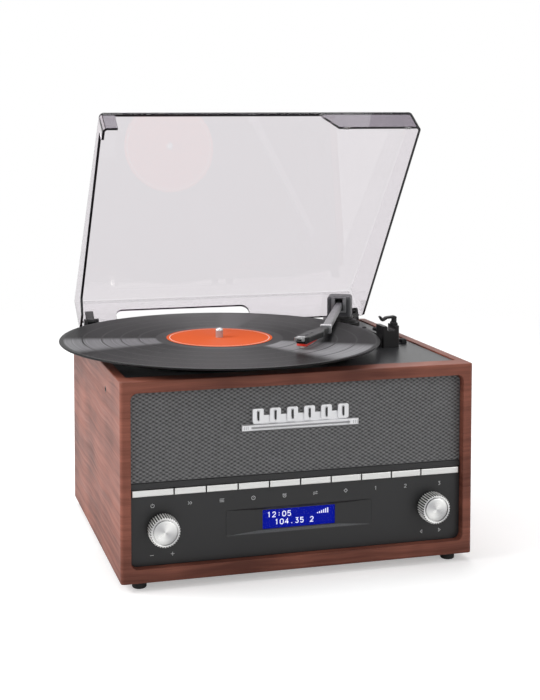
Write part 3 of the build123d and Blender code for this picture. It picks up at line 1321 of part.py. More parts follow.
GRILLE_BOTTOM = FASCIA_TOP + FIT
GRILLE_TOP = Z_CASE + CASE_HEIGHT - FRAME_TOP - FIT
GRILLE_MID = (GRILLE_BOTTOM + GRILLE_TOP) / 2
GRILLE_HEIGHT = GRILLE_TOP - GRILLE_BOTTOM
Y_BAFFLE = Y_PANEL + GRILLE_LIP

with BuildPart() as grille:
    with BuildSketch(front_plane(Y_PANEL)):
        with Locations((X_MID, GRILLE_MID)):
            Rectangle(FASCIA_WIDTH, GRILLE_HEIGHT)
    extrude(amount=-GRILLE_LIP)
    upper_corners = grille.edges().filter_by(Axis.Y).group_by(Axis.Z)[-1]
    fillet(upper_corners, radius=FRAME_CORNER)
    with BuildSketch(front_plane(Y_PANEL + GRILLE_THICKNESS)):
        with Locations((X_MID, GRILLE_MID)):
            Rectangle(FASCIA_WIDTH - 2 * FRAME_CORNER, GRILLE_HEIGHT - 2 * FRAME_CORNER)
    extrude(amount=-GRILLE_LIP, mode=Mode.SUBTRACT)
keep(grille, "grille")

SPEAKER_RADIUS = GRILLE_HEIGHT / 2 - SPEAKER_EDGE
SPEAKER_X = [X_LEFT + SPEAKER_FROM_SIDE, X_RIGHT - SPEAKER_FROM_SIDE]
with BuildPart() as baffle:
    with BuildSketch(front_plane(Y_BAFFLE)):
        with Locations((X_MID, GRILLE_MID)):
            Rectangle(FASCIA_WIDTH, GRILLE_HEIGHT)
    extrude(amount=-BAFFLE_THICKNESS)
    fillet(baffle.edges().filter_by(Axis.Y).group_by(Axis.Z)[-1], radius=FRAME_CORNER)
    with BuildSketch(front_plane(Y_BAFFLE)):
        with Locations(*[(x, GRILLE_MID) for x in SPEAKER_X]):
            Circle(SPEAKER_RADIUS - 4)
    extrude(amount=-BAFFLE_THICKNESS, mode=Mode.SUBTRACT)
keep(baffle, "baffle")

Y_SPEAKER = Y_BAFFLE + BAFFLE_THICKNESS
MAGNET_RADIUS = 21.0
MAGNET_DEPTH = 11.0
BASKET_WALL = 1.2
CONE_DEPTH = 14.0
VOICE_COIL = 9.0


def speaker_profile_plane(x):
    """The half plane through a speaker's axis: x runs out from the axis, y to the rear."""
    return Plane(origin=(x, Y_SPEAKER, GRILLE_MID), x_dir=(1, 0, 0), z_dir=(0, 0, 1))


with BuildPart() as speaker_baskets:
    for speaker_x in SPEAKER_X:
        with BuildSketch(speaker_profile_plane(speaker_x)):
            with BuildLine():
                Polyline(
                    (SPEAKER_RADIUS, 0),
                    (SPEAKER_RADIUS, 1.5),
                    (SPEAKER_RADIUS - 4, 1.5),
                    (MAGNET_RADIUS, SPEAKER_DEPTH - MAGNET_DEPTH),
                    (MAGNET_RADIUS, SPEAKER_DEPTH),
                    (0, SPEAKER_DEPTH),
                    (0, SPEAKER_DEPTH - MAGNET_DEPTH),
                    (MAGNET_RADIUS - 2, SPEAKER_DEPTH - MAGNET_DEPTH - BASKET_WALL),
                    (SPEAKER_RADIUS - 5.5, 0),
                    close=True,
                )
            make_face()
        revolve(axis=Axis((speaker_x, Y_SPEAKER, GRILLE_MID), (0, 1, 0)))
keep(speaker_baskets, "speaker_baskets")

with BuildPart() as speaker_cones:
    for speaker_x in SPEAKER_X:
        with BuildSketch(speaker_profile_plane(speaker_x)):
            with BuildLine():
                cone_rim = Line((SPEAKER_RADIUS - 6, -1.2), (SPEAKER_RADIUS - 6, 0))
                Line(cone_rim @ 1, (VOICE_COIL, CONE_DEPTH))
                Line((VOICE_COIL, CONE_DEPTH), (0, CONE_DEPTH))
                Line((0, CONE_DEPTH), (0, CONE_DEPTH - 5))
                ThreePointArc(
                    (0, CONE_DEPTH - 5),
                    (VOICE_COIL * 0.6, CONE_DEPTH - 4),
                    (VOICE_COIL, CONE_DEPTH - 1.4),
                )
                Polyline(
                    (VOICE_COIL, CONE_DEPTH - 1.4),
                    (SPEAKER_RADIUS - 12, 0.2),
                    (SPEAKER_RADIUS - 10, -1.2),
                    cone_rim @ 0,
                )
            make_face()
        revolve(axis=Axis((speaker_x, Y_SPEAKER, GRILLE_MID), (0, 1, 0)))
keep(speaker_cones, "speaker_cones")

# ---------------------------------------------------------------- badge
BADGE_Z = Z_CASE + BADGE_ABOVE_CASE
BADGE_DEPTH = 3.2
RAIL_DEPTH = 0.8
FIN_Z = BADGE_Z + BADGE_BAR_HEIGHT / 2 + 1.0 + FIN_HEIGHT / 2

with BuildPart() as badge:
    with BuildSketch(front_plane(Y_PANEL)):
        with Locations((X_MID, BADGE_Z)):
            Rectangle(BADGE_WIDTH, BADGE_BAR_HEIGHT)
    extrude(amount=BADGE_DEPTH)
    chamfer(badge.edges().group_by(Axis.Y)[0], length=0.6)
    # the middle of the bar is sunk between its end caps and ribbed
    with BuildSketch(front_plane(Y_PANEL - BADGE_DEPTH)):
        with Locations((X_MID, BADGE_Z + 1.3), (X_MID, BADGE_Z - 1.3)):
            Rectangle(BADGE_WIDTH - 18, 1.3)
    extrude(amount=-1.2, mode=Mode.SUBTRACT)
    # a thin rail behind carries the upright fins
    with BuildSketch(front_plane(Y_PANEL)):
        with Locations((X_MID, (BADGE_Z + FIN_Z) / 2)):
            Rectangle(FIN_PITCH * FIN_COUNT - 8, FIN_Z - BADGE_Z)
    extrude(amount=RAIL_DEPTH)
    with BuildSketch(front_plane(Y_PANEL)):
        with Locations((X_MID, FIN_Z)):
            with GridLocations(FIN_PITCH, 0, FIN_COUNT, 1):
                RectangleRounded(FIN_WIDTH, FIN_HEIGHT, 1.6)
    extrude(amount=BADGE_DEPTH - 0.4)
    # each fin is split by an upright groove
    with BuildSketch(front_plane(Y_PANEL - BADGE_DEPTH + 0.4)):
        with Locations((X_MID, FIN_Z)):
            with GridLocations(FIN_PITCH, 0, FIN_COUNT, 1):
                SlotOverall(FIN_HEIGHT - 3, 2.2, rotation=90)
    extrude(amount=-1.4, mode=Mode.SUBTRACT)
keep(badge, "badge")

# ---------------------------------------------------------------- boards on the floor
FLOOR = Z_CASE + BOARD
STANDOFF = 5.0
POST = 3.0
POST_INSET = 6.0
BOARD_TOP = FLOOR + STANDOFF + BOARD_THICKNESS
MAIN_WIDTH = 130.0
MAIN_DEPTH = 80.0
MAIN_FROM_RIGHT = 130.0
BOARDS_FROM_BACK = 78.0
SINK_FINS = 6
SINK_PITCH = 6.0
SINK_WIDTH = 26.0
SINK_HEIGHT = 22.0
FIN = 2.0
SINK_X = -40.0
TUNER_WIDTH = 34.0
TUNER_DEPTH = 26.0
TUNER_HEIGHT = 6.0
TUNER_X = 8.0
TUNER_Y = 16.0
CAPACITOR_RADIUS = 6.5
CAPACITOR_HEIGHT = 20.0
CAPACITOR_X = 46.0
SUPPLY_SIZE = 66.0
SUPPLY_FROM_LEFT = 70.0
COIL_WIDTH = 28.0
COIL_DEPTH = 24.0
COIL_HEIGHT = 18.0
COIL_X = -8.0
RESERVOIR_RADIUS = 8.0
RESERVOIR_HEIGHT = 24.0
RESERVOIR_X = 20.0
MAIN_X = X_RIGHT - MAIN_FROM_RIGHT
MAIN_Y = Y_BACK - BOARDS_FROM_BACK
SUPPLY_X = X_LEFT + SUPPLY_FROM_LEFT


def board_on_posts(x, y, width, depth):
    """A circuit board on four posts that stand on the floor of the case."""
    with BuildPart() as board:
        with BuildSketch(Plane.XY.offset(FLOOR)):
            with Locations((x, y)):
                with GridLocations(width - 2 * POST_INSET, depth - 2 * POST_INSET, 2, 2):
                    Circle(POST)
        extrude(amount=STANDOFF)
        with BuildSketch(Plane.XY.offset(FLOOR + STANDOFF)):
            with Locations((x, y)):
                Rectangle(width, depth)
        extrude(amount=BOARD_THICKNESS)
    return board


main_carrier = board_on_posts(MAIN_X, MAIN_Y, MAIN_WIDTH, MAIN_DEPTH)
with BuildPart() as main_board:
    add(main_carrier.part)
    # amplifier heat sink
    with BuildSketch(Plane.XY.offset(BOARD_TOP)):
        with Locations((MAIN_X + SINK_X, MAIN_Y)):
            with GridLocations(0, SINK_PITCH, 1, SINK_FINS):
                Rectangle(SINK_WIDTH, FIN)
            Rectangle(2 * FIN, (SINK_FINS - 1) * SINK_PITCH + FIN)
    extrude(amount=SINK_HEIGHT)
    # tuner can
    with BuildSketch(Plane.XY.offset(BOARD_TOP)):
        with Locations((MAIN_X + TUNER_X, MAIN_Y + TUNER_Y)):
            Rectangle(TUNER_WIDTH, TUNER_DEPTH)
    extrude(amount=TUNER_HEIGHT)
    # smoothing capacitors
    with BuildSketch(Plane.XY.offset(BOARD_TOP)):
        with Locations((MAIN_X + CAPACITOR_X, MAIN_Y - 3 * CAPACITOR_RADIUS), (MAIN_X + CAPACITOR_X, MAIN_Y)):
            Circle(CAPACITOR_RADIUS)
    extrude(amount=CAPACITOR_HEIGHT)
keep(main_board, "main_board")

supply_carrier = board_on_posts(SUPPLY_X, MAIN_Y, SUPPLY_SIZE, SUPPLY_SIZE)
with BuildPart() as power_supply:
    add(supply_carrier.part)
    # transformer
    with BuildSketch(Plane.XY.offset(BOARD_TOP)):
        with Locations((SUPPLY_X + COIL_X, MAIN_Y + COIL_DEPTH / 4)):
            Rectangle(COIL_WIDTH, COIL_DEPTH)
    extrude(amount=COIL_HEIGHT)
    # reservoir capacitor
    with BuildSketch(Plane.XY.offset(BOARD_TOP)):
        with Locations((SUPPLY_X + RESERVOIR_X, MAIN_Y - 2 * RESERVOIR_RADIUS)):
            Circle(RESERVOIR_RADIUS)
    extrude(amount=RESERVOIR_HEIGHT)
keep(power_supply, "power_supply")
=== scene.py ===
"""Dresses the stereo music centre: finishes, printed marks, fine trim, studio light and camera.

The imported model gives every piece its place. Lengths are metres, unless a name ends in _mm.
"""

import json
import logging
import math
from dataclasses import dataclass
from enum import Enum
from typing import Any, ClassVar, Mapping, Sequence

import bmesh
import bpy
from mathutils import Matrix, Vector


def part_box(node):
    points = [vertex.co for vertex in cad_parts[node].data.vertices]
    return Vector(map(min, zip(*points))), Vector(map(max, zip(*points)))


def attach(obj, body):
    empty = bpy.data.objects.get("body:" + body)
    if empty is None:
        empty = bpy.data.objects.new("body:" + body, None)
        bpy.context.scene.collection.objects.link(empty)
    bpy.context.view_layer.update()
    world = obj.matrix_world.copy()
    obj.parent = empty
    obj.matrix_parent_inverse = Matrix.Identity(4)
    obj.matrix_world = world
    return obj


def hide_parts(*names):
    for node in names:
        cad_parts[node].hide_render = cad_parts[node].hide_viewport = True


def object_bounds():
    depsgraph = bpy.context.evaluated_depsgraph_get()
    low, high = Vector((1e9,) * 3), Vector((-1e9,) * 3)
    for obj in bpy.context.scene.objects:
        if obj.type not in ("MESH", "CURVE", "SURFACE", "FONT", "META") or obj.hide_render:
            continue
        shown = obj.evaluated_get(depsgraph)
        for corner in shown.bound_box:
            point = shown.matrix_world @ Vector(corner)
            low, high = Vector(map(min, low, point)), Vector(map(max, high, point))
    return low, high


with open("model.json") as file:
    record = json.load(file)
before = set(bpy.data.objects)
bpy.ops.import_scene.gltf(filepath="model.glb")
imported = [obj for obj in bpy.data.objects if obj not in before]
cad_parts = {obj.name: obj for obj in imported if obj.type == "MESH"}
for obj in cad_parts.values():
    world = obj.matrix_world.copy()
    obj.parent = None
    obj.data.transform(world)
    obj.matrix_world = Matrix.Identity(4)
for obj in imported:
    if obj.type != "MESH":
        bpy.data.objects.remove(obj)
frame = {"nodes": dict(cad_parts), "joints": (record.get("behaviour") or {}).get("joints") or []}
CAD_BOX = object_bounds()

Node = bpy.types.Node
Socket = bpy.types.NodeSocket
Shape = bmesh.types.BMesh
Vertex = bmesh.types.BMVert
Box = tuple[Vector, Vector]
Colour = tuple[float, float, float, float]
# a point of a drawing, a line of such points, and a row of sizes
Point = tuple[float, float]
Line = Sequence[Point]
Row = tuple[float, ...]

LOG = logging.getLogger("music_centre")
MM = 0.001
RIGHT, UP = Vector((1, 0, 0)), Vector((0, 0, 1))
NODES: dict[str, bpy.types.Object] = frame["nodes"]
JOINTS: dict[str, Mapping[str, Any]] = {joint["name"]: joint for joint in frame["joints"]}


# ---- node graphs


def linear(colour: str) -> Colour:
    """Turns an sRGB hex colour into linear red, green, blue and an alpha of 1.

    Args:
        colour: The colour as "#rrggbb".

    Returns:
        The four linear channels.
    """
    channels = [int(colour[i : i + 2], 16) / 255 for i in (1, 3, 5)]
    red, green, blue = [c / 12.92 if c <= 0.04045 else ((c + 0.055) / 1.055) ** 2.4 for c in channels]
    return red, green, blue, 1.0


@dataclass(frozen=True)
class Graph:
    """The nodes of one material or world, and the node that they lead to."""

    tree: bpy.types.NodeTree
    target: Node

    def add(self, kind: str, inputs: Mapping[Any, Any] | None = None, **settings: Any) -> Node:
        """Adds one node.

        Args:
            kind: The node's type, without its prefix.
            inputs: What its inputs get, as fill takes it.
            settings: The node's own properties.

        Returns:
            The node.
        """
        node = self.tree.nodes.new(f"ShaderNode{kind}")
        for name, value in settings.items():
            setattr(node, name, value)
        self.fill(node, inputs or {})
        return node

    def fill(self, node: Node, inputs: Mapping[Any, Any]) -> None:
        """Sets the inputs that get a constant, and links those that get a socket.

        Args:
            node: The node.
            inputs: A constant or a socket for each input, by its name or number.
        """
        for key, value in inputs.items():
            if isinstance(value, Socket):
                self.tree.links.new(value, node.inputs[key])
            else:
                node.inputs[key].default_value = value

    def feed(self, inputs: Mapping[Any, Any]) -> None:
        """Sets or links inputs of the node that the others lead to."""
        self.fill(self.target, inputs)

    def calc(self, operation: str, *operands: Socket | float, clamp: bool = False) -> Socket:
        """Works out a number from sockets and constants; clamp keeps it between 0 and 1."""
        return self.add("Math", dict(enumerate(operands)), operation=operation, use_clamp=clamp).outputs[0]

    def vector(self, operation: str, *operands: Socket | Sequence[float]) -> Socket:
        """Works out a vector, or the length or dot product of vectors."""
        node = self.add("VectorMath", dict(enumerate(operands)), operation=operation)
        return node.outputs["Value" if operation in ("LENGTH", "DOT_PRODUCT") else "Vector"]

    def mix(self, share: Socket | float, first: Socket | str, second: Socket | str) -> Socket:
        """Mixes two colours, each a socket or an sRGB hex colour, by the share of the second."""
        ends = [linear(end) if isinstance(end, str) else end for end in (first, second)]
        return self.add("Mix", {0: share, 6: ends[0], 7: ends[1]}, data_type="RGBA").outputs[2]

    def shade(self, colour: str, factor: Socket) -> Socket:
        """Multiplies an sRGB hex colour by a number."""
        return self.add("VectorMath", {0: linear(colour)[:3], "Scale": factor}, operation="SCALE").outputs[0]

    def ramp(
        self, value: Socket, start: float, end: float, low: float = 0, high: float = 1, curve: str = "LINEAR"
    ) -> Socket:
        """Lays a number that runs from start to end between low and high."""
        inputs = {"Value": value, "From Min": start, "From Max": end, "To Min": low, "To Max": high}
        return self.add("MapRange", inputs, interpolation_type=curve).outputs[0]

    def spread(self, noise: Socket, low: float, high: float) -> Socket:
        """Lays noise, which mostly runs from 0.3 to 0.7, between low and high."""
        return self.ramp(noise, 0.3, 0.7, low, high)

    def split(self, coordinate: str = "Object") -> dict[str, Socket]:
        """The X, Y and Z of one of the piece's own coordinates."""
        point = self.add("TexCoord").outputs[coordinate]
        parts = self.add("SeparateXYZ", {0: point}).outputs
        return {axis: parts[axis] for axis in "XYZ"}

    def place(self, size_mm: Sequence[float]) -> Socket:
        """The point on the piece, counted in cells that are so long along X, Y and Z."""
        point = self.add("TexCoord").outputs["Object"]
        scale = [1 / (size * MM) for size in size_mm]
        return self.add("Mapping", {"Vector": point, "Scale": scale}).outputs[0]

    def noise(self, size_mm: Sequence[float] | float, detail: float = 2.0, rough: float = 0.5) -> Socket:
        """Noise between 0 and 1, with grains of one length or of lengths along X, Y and Z."""
        point = self.place([size_mm] * 3 if isinstance(size_mm, float) else size_mm)
        return self.clouds(point, detail, rough)

    def clouds(self, point: Socket, detail: float, rough: float) -> Socket:
        """Noise between 0 and 1 with grains about 1 long; finer layers are so many and so strong."""
        inputs = {"Vector": point, "Scale": 1.0, "Detail": detail, "Roughness": rough}
        return self.add("TexNoise", inputs).outputs["Fac"]


# ---- finishes


@dataclass(frozen=True)
class Finish:
    """The plain start of every finish: one colour, one gloss and softly rounded edges."""

    name: str
    colour: str
    roughness: float = 0.5
    metallic: float = 0.0
    edge_mm: float = 0.35
    specular: float = 0.5
    # how far the roughness strays where the pattern is low, and where it is high
    uneven_gloss: Point = (0.0, 0.0)

    def material(self) -> bpy.types.Material:
        """Builds the material, or finds it if a piece has it already.

        Returns:
            The material.
        """
        found = bpy.data.materials.get(self.name)
        if found is not None:
            return found
        material = bpy.data.materials.new(self.name)
        material.use_nodes = True
        material.diffuse_color = linear(self.colour)
        graph = Graph(material.node_tree, material.node_tree.nodes["Principled BSDF"])
        graph.feed({"Base Color": linear(self.colour), "Roughness": self.roughness})
        graph.feed({"Metallic": self.metallic, "Specular IOR Level": self.specular})
        self.pattern(graph)
        return material

    def pattern(self, graph: Graph) -> None:
        """Adds what makes this finish more than one colour; a plain finish only rounds its edges."""
        graph.feed({"Normal": self.rounded(graph)})

    def gloss(self, graph: Graph, noise: Socket) -> Socket:
        """The roughness, which strays with a noise."""
        return graph.spread(noise, *[self.roughness + change for change in self.uneven_gloss])

    def rounded(self, graph: Graph) -> Socket:
        """The normal with this finish's small edge radius."""
        return graph.add("Bevel", {"Radius": self.edge_mm * MM}, samples=4).outputs[0]

    def relief(self, graph: Graph, height: Socket, depth_mm: float) -> Socket:
        """The normal of a relief of a real depth over the rounded edges; its height runs from 0 to 1."""
        inputs = {"Height": height, "Distance": depth_mm * MM, "Normal": self.rounded(graph)}
        return graph.add("Bump", inputs).outputs[0]


@dataclass(frozen=True)
class MouldedPlastic(Finish):
    """Injection-moulded ABS or nylon: the mould's fine spark texture breaks up the gloss."""

    # spark erosion leaves grains of about 0.1 mm; drawn at 0.6 mm so that they show
    grain_mm: float = 0.6
    grain_depth_mm: float = 0.03
    uneven_gloss: Point = (-0.06, 0.08)
    mottle_mm: float = 18.0
    mottle: float = 0.12

    def pattern(self, graph: Graph) -> None:
        """Adds the mould's grain and a faint cloudiness from handling."""
        grain = graph.noise(self.grain_mm, detail=3.0)
        cloud = graph.spread(graph.noise(self.mottle_mm), 1 - self.mottle, 1 + self.mottle)
        graph.feed({"Base Color": graph.shade(self.colour, cloud), "Roughness": self.gloss(graph, grain)})
        graph.feed({"Normal": self.relief(graph, grain, self.grain_depth_mm)})


@dataclass(frozen=True)
class MahoganyVinyl(Finish):
    """Printed mahogany vinyl wrapped over board: cloudy figure, soft streaks, dark pores."""

    dark: str = "#34160f"
    light: str = "#a56553"
    # the print's figure: hand-wide clouds, wavy bands across the grain, and pores a few tenths wide
    cloud_mm: float = 85.0
    band_mm: float = 9.0
    streak_mm: float = 3.0
    pore_mm: float = 0.8
    along_mm: float = 210.0
    pore_length_mm: float = 26.0
    pore_depth_mm: float = 0.025
    wave_mm: float = 90.0
    wave_height_mm: float = 14.4
    figure_rough: float = 0.6
    # how much clouds, bands and streaks count for, and how far they are evened out
    cloud_share: float = 0.48
    band_share: float = 0.34
    streak_share: float = 0.18
    contrast: Point = (-0.5, 1.5)
    evenness: float = 0.42
    pore_share: float = 0.2
    uneven_gloss: Point = (0.05, -0.05)

    def figure(self, graph: Graph, across_mm: float, along_mm: float, detail: float) -> Socket:
        """Level streaks that waver up and down as the tree's rings do.

        Args:
            graph: The material's nodes.
            across_mm: How wide one streak is.
            along_mm: How long it is.
            detail: How many finer layers it has.

        Returns:
            A number between 0 and 1.
        """
        waver = graph.calc("SUBTRACT", graph.noise(self.wave_mm, detail=1.0), 0.5)
        rise = graph.calc("MULTIPLY", waver, self.wave_height_mm / across_mm)
        shift = graph.add("CombineXYZ", {2: rise}).outputs[0]
        moved = graph.vector("ADD", graph.place([along_mm, along_mm, across_mm]), shift)
        return graph.clouds(moved, detail, self.figure_rough)

    def pattern(self, graph: Graph) -> None:
        """Adds clouds, bands, streaks and pores, which run level round the case."""
        clouds = graph.noise(self.cloud_mm)
        bands = self.figure(graph, self.band_mm, self.along_mm, detail=3.0)
        streaks = self.figure(graph, self.streak_mm, self.along_mm / 2, detail=4.0)
        pores = graph.noise([self.pore_length_mm, self.pore_length_mm, self.pore_mm])
        mixed = graph.calc("MULTIPLY", bands, self.band_share)
        mixed = graph.calc("MULTIPLY_ADD", clouds, self.cloud_share, mixed)
        mixed = graph.calc("MULTIPLY_ADD", streaks, self.streak_share, mixed)
        toned = graph.mix(graph.spread(mixed, *self.contrast), self.dark, self.light)
        even = graph.mix(self.evenness, toned, self.colour)
        pore = graph.calc("MULTIPLY", graph.spread(pores, 1.0, 0.0), self.pore_share, clamp=True)
        graph.feed({"Base Color": graph.mix(pore, even, self.dark), "Roughness": self.gloss(graph, streaks)})
        graph.feed({"Normal": self.relief(graph, pores, self.pore_depth_mm)})


class Lay(Enum):
    """The length along X, Y and Z, in mm, of the marks that a tool leaves on metal."""

    ALONG_X = (60.0, 0.35, 0.35)
    NONE = (0.5, 0.5, 0.5)


class Turned(Enum):
    """The axis that a turned piece was spun about in the lathe."""

    Y = "Y"
    Z = "Z"


@dataclass(frozen=True)
class BrushedMetal(Finish):
    """Metal drawn over an abrasive belt: fine parallel scratches that stretch a highlight."""

    metallic: float = 1.0
    lay: Lay = Lay.ALONG_X
    scratch: float = 0.12
    scratch_depth_mm: float = 0.02
    uneven_gloss: Point = (0.08, -0.06)

    def pattern(self, graph: Graph) -> None:
        """Adds the scratches to the gloss, the colour and the relief."""
        lines = graph.noise(self.lay.value, detail=3.0, rough=0.6)
        tone = graph.shade(self.colour, graph.spread(lines, 1.0 - self.scratch, 1.0))
        graph.feed({"Base Color": tone, "Roughness": self.gloss(graph, lines)})
        graph.feed({"Normal": self.relief(graph, lines, self.scratch_depth_mm)})


@dataclass(frozen=True)
class SpunMetal(Finish):
    """Metal turned in a lathe: rings too fine to see fan the highlight out from the centre."""

    metallic: float = 1.0
    axis: Turned = Turned.Y
    spin: float = 0.75
    wear_mm: float = 6.0
    uneven_gloss: Point = (-0.03, 0.05)
    # the sides are knurled and blasted, so they are duller than the turned face
    side_roughness: float = 0.25

    def pattern(self, graph: Graph) -> None:
        """Turns the highlight round the lathe's axis and dulls the sides."""
        tangent = graph.add("Tangent", direction_type="RADIAL", axis=self.axis.value).outputs[0]
        worn = self.gloss(graph, graph.noise(self.wear_mm))
        face = graph.calc("ABSOLUTE", graph.split("Normal")[self.axis.value])
        side = graph.calc("MULTIPLY", graph.calc("SUBTRACT", 1.0, face), self.side_roughness)
        graph.feed({"Tangent": tangent, "Anisotropic": self.spin, "Roughness": graph.calc("ADD", worn, side)})
        graph.feed({"Normal": self.rounded(graph)})


def from_knob(graph: Graph) -> tuple[Socket, Socket]:
    """How far a point lies to the right of and above the middle of whichever knob it is on.

    Args:
        graph: The material's nodes.

    Returns:
        The two distances in metres.
    """
    point = graph.split()
    left, right = [middle(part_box(knob)) for knob in ("volume_knob", "tune_knob")]
    aside = graph.calc("SUBTRACT", point["X"], (left.x + right.x) / 2)
    mirrored = graph.calc("SUBTRACT", graph.calc("ABSOLUTE", aside), (right.x - left.x) / 2)
    across = graph.calc("MULTIPLY", mirrored, graph.calc("SIGN", aside))
    return across, graph.calc("SUBTRACT", point["Z"], left.z)


@dataclass(frozen=True)
class KnurledSide(Finish):
    """Silver lacquer on the knob's fluted side, with painted shade darkening it between the ribs."""

    # the colour of the painted shade at the bottom of the flutes
    gap: str = "#060607"
    # painted shade in the flutes: how far below the rim the lacquer is at its darkest and at its brightest
    gap_mm: float = 1.02
    rib_mm: float = 0.36

    def pattern(self, graph: Graph) -> None:
        """Paints shade on the lacquer, darker towards the bottom of the flutes."""
        low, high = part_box("volume_knob")
        rim = (high.x - low.x) / 2
        squares = [graph.calc("MULTIPLY", way, way) for way in from_knob(graph)]
        radius = graph.calc("SQRT", graph.calc("ADD", *squares))
        height = graph.ramp(radius, rim - self.gap_mm * MM, rim - self.rib_mm * MM)
        graph.feed({"Base Color": graph.mix(height, self.gap, self.colour)})


@dataclass(frozen=True)
class KnobMetal(SpunMetal):
    """Spun aluminium with painted highlight and shade: bright and dull sectors round the knob, where the
    turning marks fan the light out.
    """

    # painted shade of the dull sectors; the knob's own colour gives the bright ones, a painted highlight
    painted_dull_sector: str = "#bcbcbd"
    sectors: int = 2
    turn_deg: float = -105.0

    def pattern(self, graph: Graph) -> None:
        """Paints the bright and dull sectors round the middle of whichever knob the point is on."""
        super().pattern(graph)
        across, up = from_knob(graph)
        angle = graph.calc("ARCTAN2", up, across)
        wave = graph.calc("MULTIPLY_ADD", angle, float(self.sectors), math.radians(self.turn_deg))
        bright = graph.calc("MULTIPLY_ADD", graph.calc("COSINE", wave), 0.5, 0.5)
        graph.feed({"Base Color": graph.mix(bright, self.painted_dull_sector, self.colour)})


@dataclass(frozen=True)
class PressedRecord(Finish):
    """Pressed black PVC with a paper label: grooves in bands, which fan the light out, and wedges of painted
    sheen on them.
    """

    label: str = "#ee6a38"
    label_ring: str = "#f4ece4"
    run_out: str = "#1b1b1c"
    label_mm: float = 50.0
    ring_mm: float = 47.0
    ring_half_mm: float = 0.35
    run_out_mm: float = 60.0
    lead_in_mm: float = 146.5
    # real grooves are 0.1 mm apart; drawn 1.6 mm apart so that the rings show
    groove_mm: float = 1.6
    groove_depth_mm: float = 0.03
    gaps_mm: Row = (76.0, 93.0, 111.0, 129.0)
    gap_half_mm: float = 0.7
    blank_gloss: float = -0.05
    paper_gloss: float = 0.3
    # the grooves break up most of the mirror reflection
    ior: float = 1.16
    stretch: float = 0.8
    # painted sheen, in wedges where the groove walls throw the light back: direction, cosine of half the
    # width, strength
    painted_sheen_colour: str = "#a4a4a7"
    painted_sheen_wedges: tuple[Row, ...] = (
        (-47.0, 0.968, 0.9),
        (182.0, 0.975, 0.6),
        (66.0, 0.99, 0.16),
    )
    # every groove takes the light a little differently, so the painted sheen is broken into fine rings
    shimmer_mm: float = 1.4
    shimmer: Point = (0.6, 1.1)

    def pattern(self, graph: Graph) -> None:
        """Paints label, run-out, tracks and lead-in by their distance from the hole."""
        hole = middle(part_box("record"))
        point = graph.add("TexCoord").outputs["Object"]
        level = graph.vector("MULTIPLY", graph.vector("SUBTRACT", point, (hole.x, hole.y, 0)), (1, 1, 0))
        radius = graph.calc("DIVIDE", graph.vector("LENGTH", level), MM)
        smooth = graph.calc("LESS_THAN", radius, self.run_out_mm)
        blank = graph.calc("MAXIMUM", smooth, graph.calc("GREATER_THAN", radius, self.lead_in_mm))
        for gap in self.gaps_mm:
            blank = graph.calc("MAXIMUM", blank, self.near(graph, radius, gap, self.gap_half_mm))
        # the grooved vinyl carries the wedges of painted sheen
        body = graph.mix(blank, self.paint_sheen_wedges(graph, level, radius), self.run_out)
        ring = self.near(graph, radius, self.ring_mm, self.ring_half_mm)
        on_label = graph.calc("LESS_THAN", radius, self.label_mm)
        tone = graph.mix(on_label, body, graph.mix(ring, self.label, self.label_ring))
        glossy = graph.calc("MULTIPLY_ADD", blank, self.blank_gloss, self.roughness)
        gloss = graph.calc("MULTIPLY_ADD", on_label, self.paper_gloss, glossy)
        wave = graph.calc("SINE", graph.calc("MULTIPLY", radius, 2 * math.pi / self.groove_mm))
        height = graph.calc("MULTIPLY", wave, graph.calc("SUBTRACT", 1.0, blank))
        tangent = graph.add("Tangent", direction_type="RADIAL", axis="Z").outputs[0]
        graph.feed({"Base Color": tone, "Roughness": gloss, "IOR": self.ior, "Anisotropic": self.stretch})
        graph.feed({"Normal": self.relief(graph, height, self.groove_depth_mm), "Tangent": tangent})

    def near(self, graph: Graph, radius: Socket, ring_mm: float, half_mm: float) -> Socket:
        """Gives 1 within half a ring's width of its radius, and 0 elsewhere."""
        away = graph.calc("ABSOLUTE", graph.calc("SUBTRACT", radius, ring_mm))
        return graph.calc("LESS_THAN", away, half_mm)

    def paint_sheen_wedges(self, graph: Graph, level: Socket, radius: Socket) -> Socket:
        """The vinyl's colour with soft wedges of painted sheen where the grooves face a lamp.

        Args:
            graph: The material's nodes.
            level: The point on the disc from the hole.
            radius: Its distance from the hole, in mm.

        Returns:
            The colour.
        """
        out = graph.vector("NORMALIZE", level)
        lit: Socket | float = 0.0
        for degrees, narrow, share in self.painted_sheen_wedges:
            along = (math.cos(math.radians(degrees)), math.sin(math.radians(degrees)), 0)
            towards = graph.vector("DOT_PRODUCT", out, along)
            soft = graph.ramp(towards, 2 * narrow - 1, 1.0, high=share, curve="SMOOTHERSTEP")
            lit = graph.calc("MAXIMUM", lit, soft)
        inputs = {"W": graph.calc("DIVIDE", radius, self.shimmer_mm), "Scale": 1.0, "Detail": 3.0}
        rings = graph.add("TexNoise", inputs, noise_dimensions="1D").outputs[0]
        share = graph.calc("MULTIPLY", lit, graph.spread(rings, *self.shimmer), clamp=True)
        return graph.mix(share, self.colour, self.painted_sheen_colour)


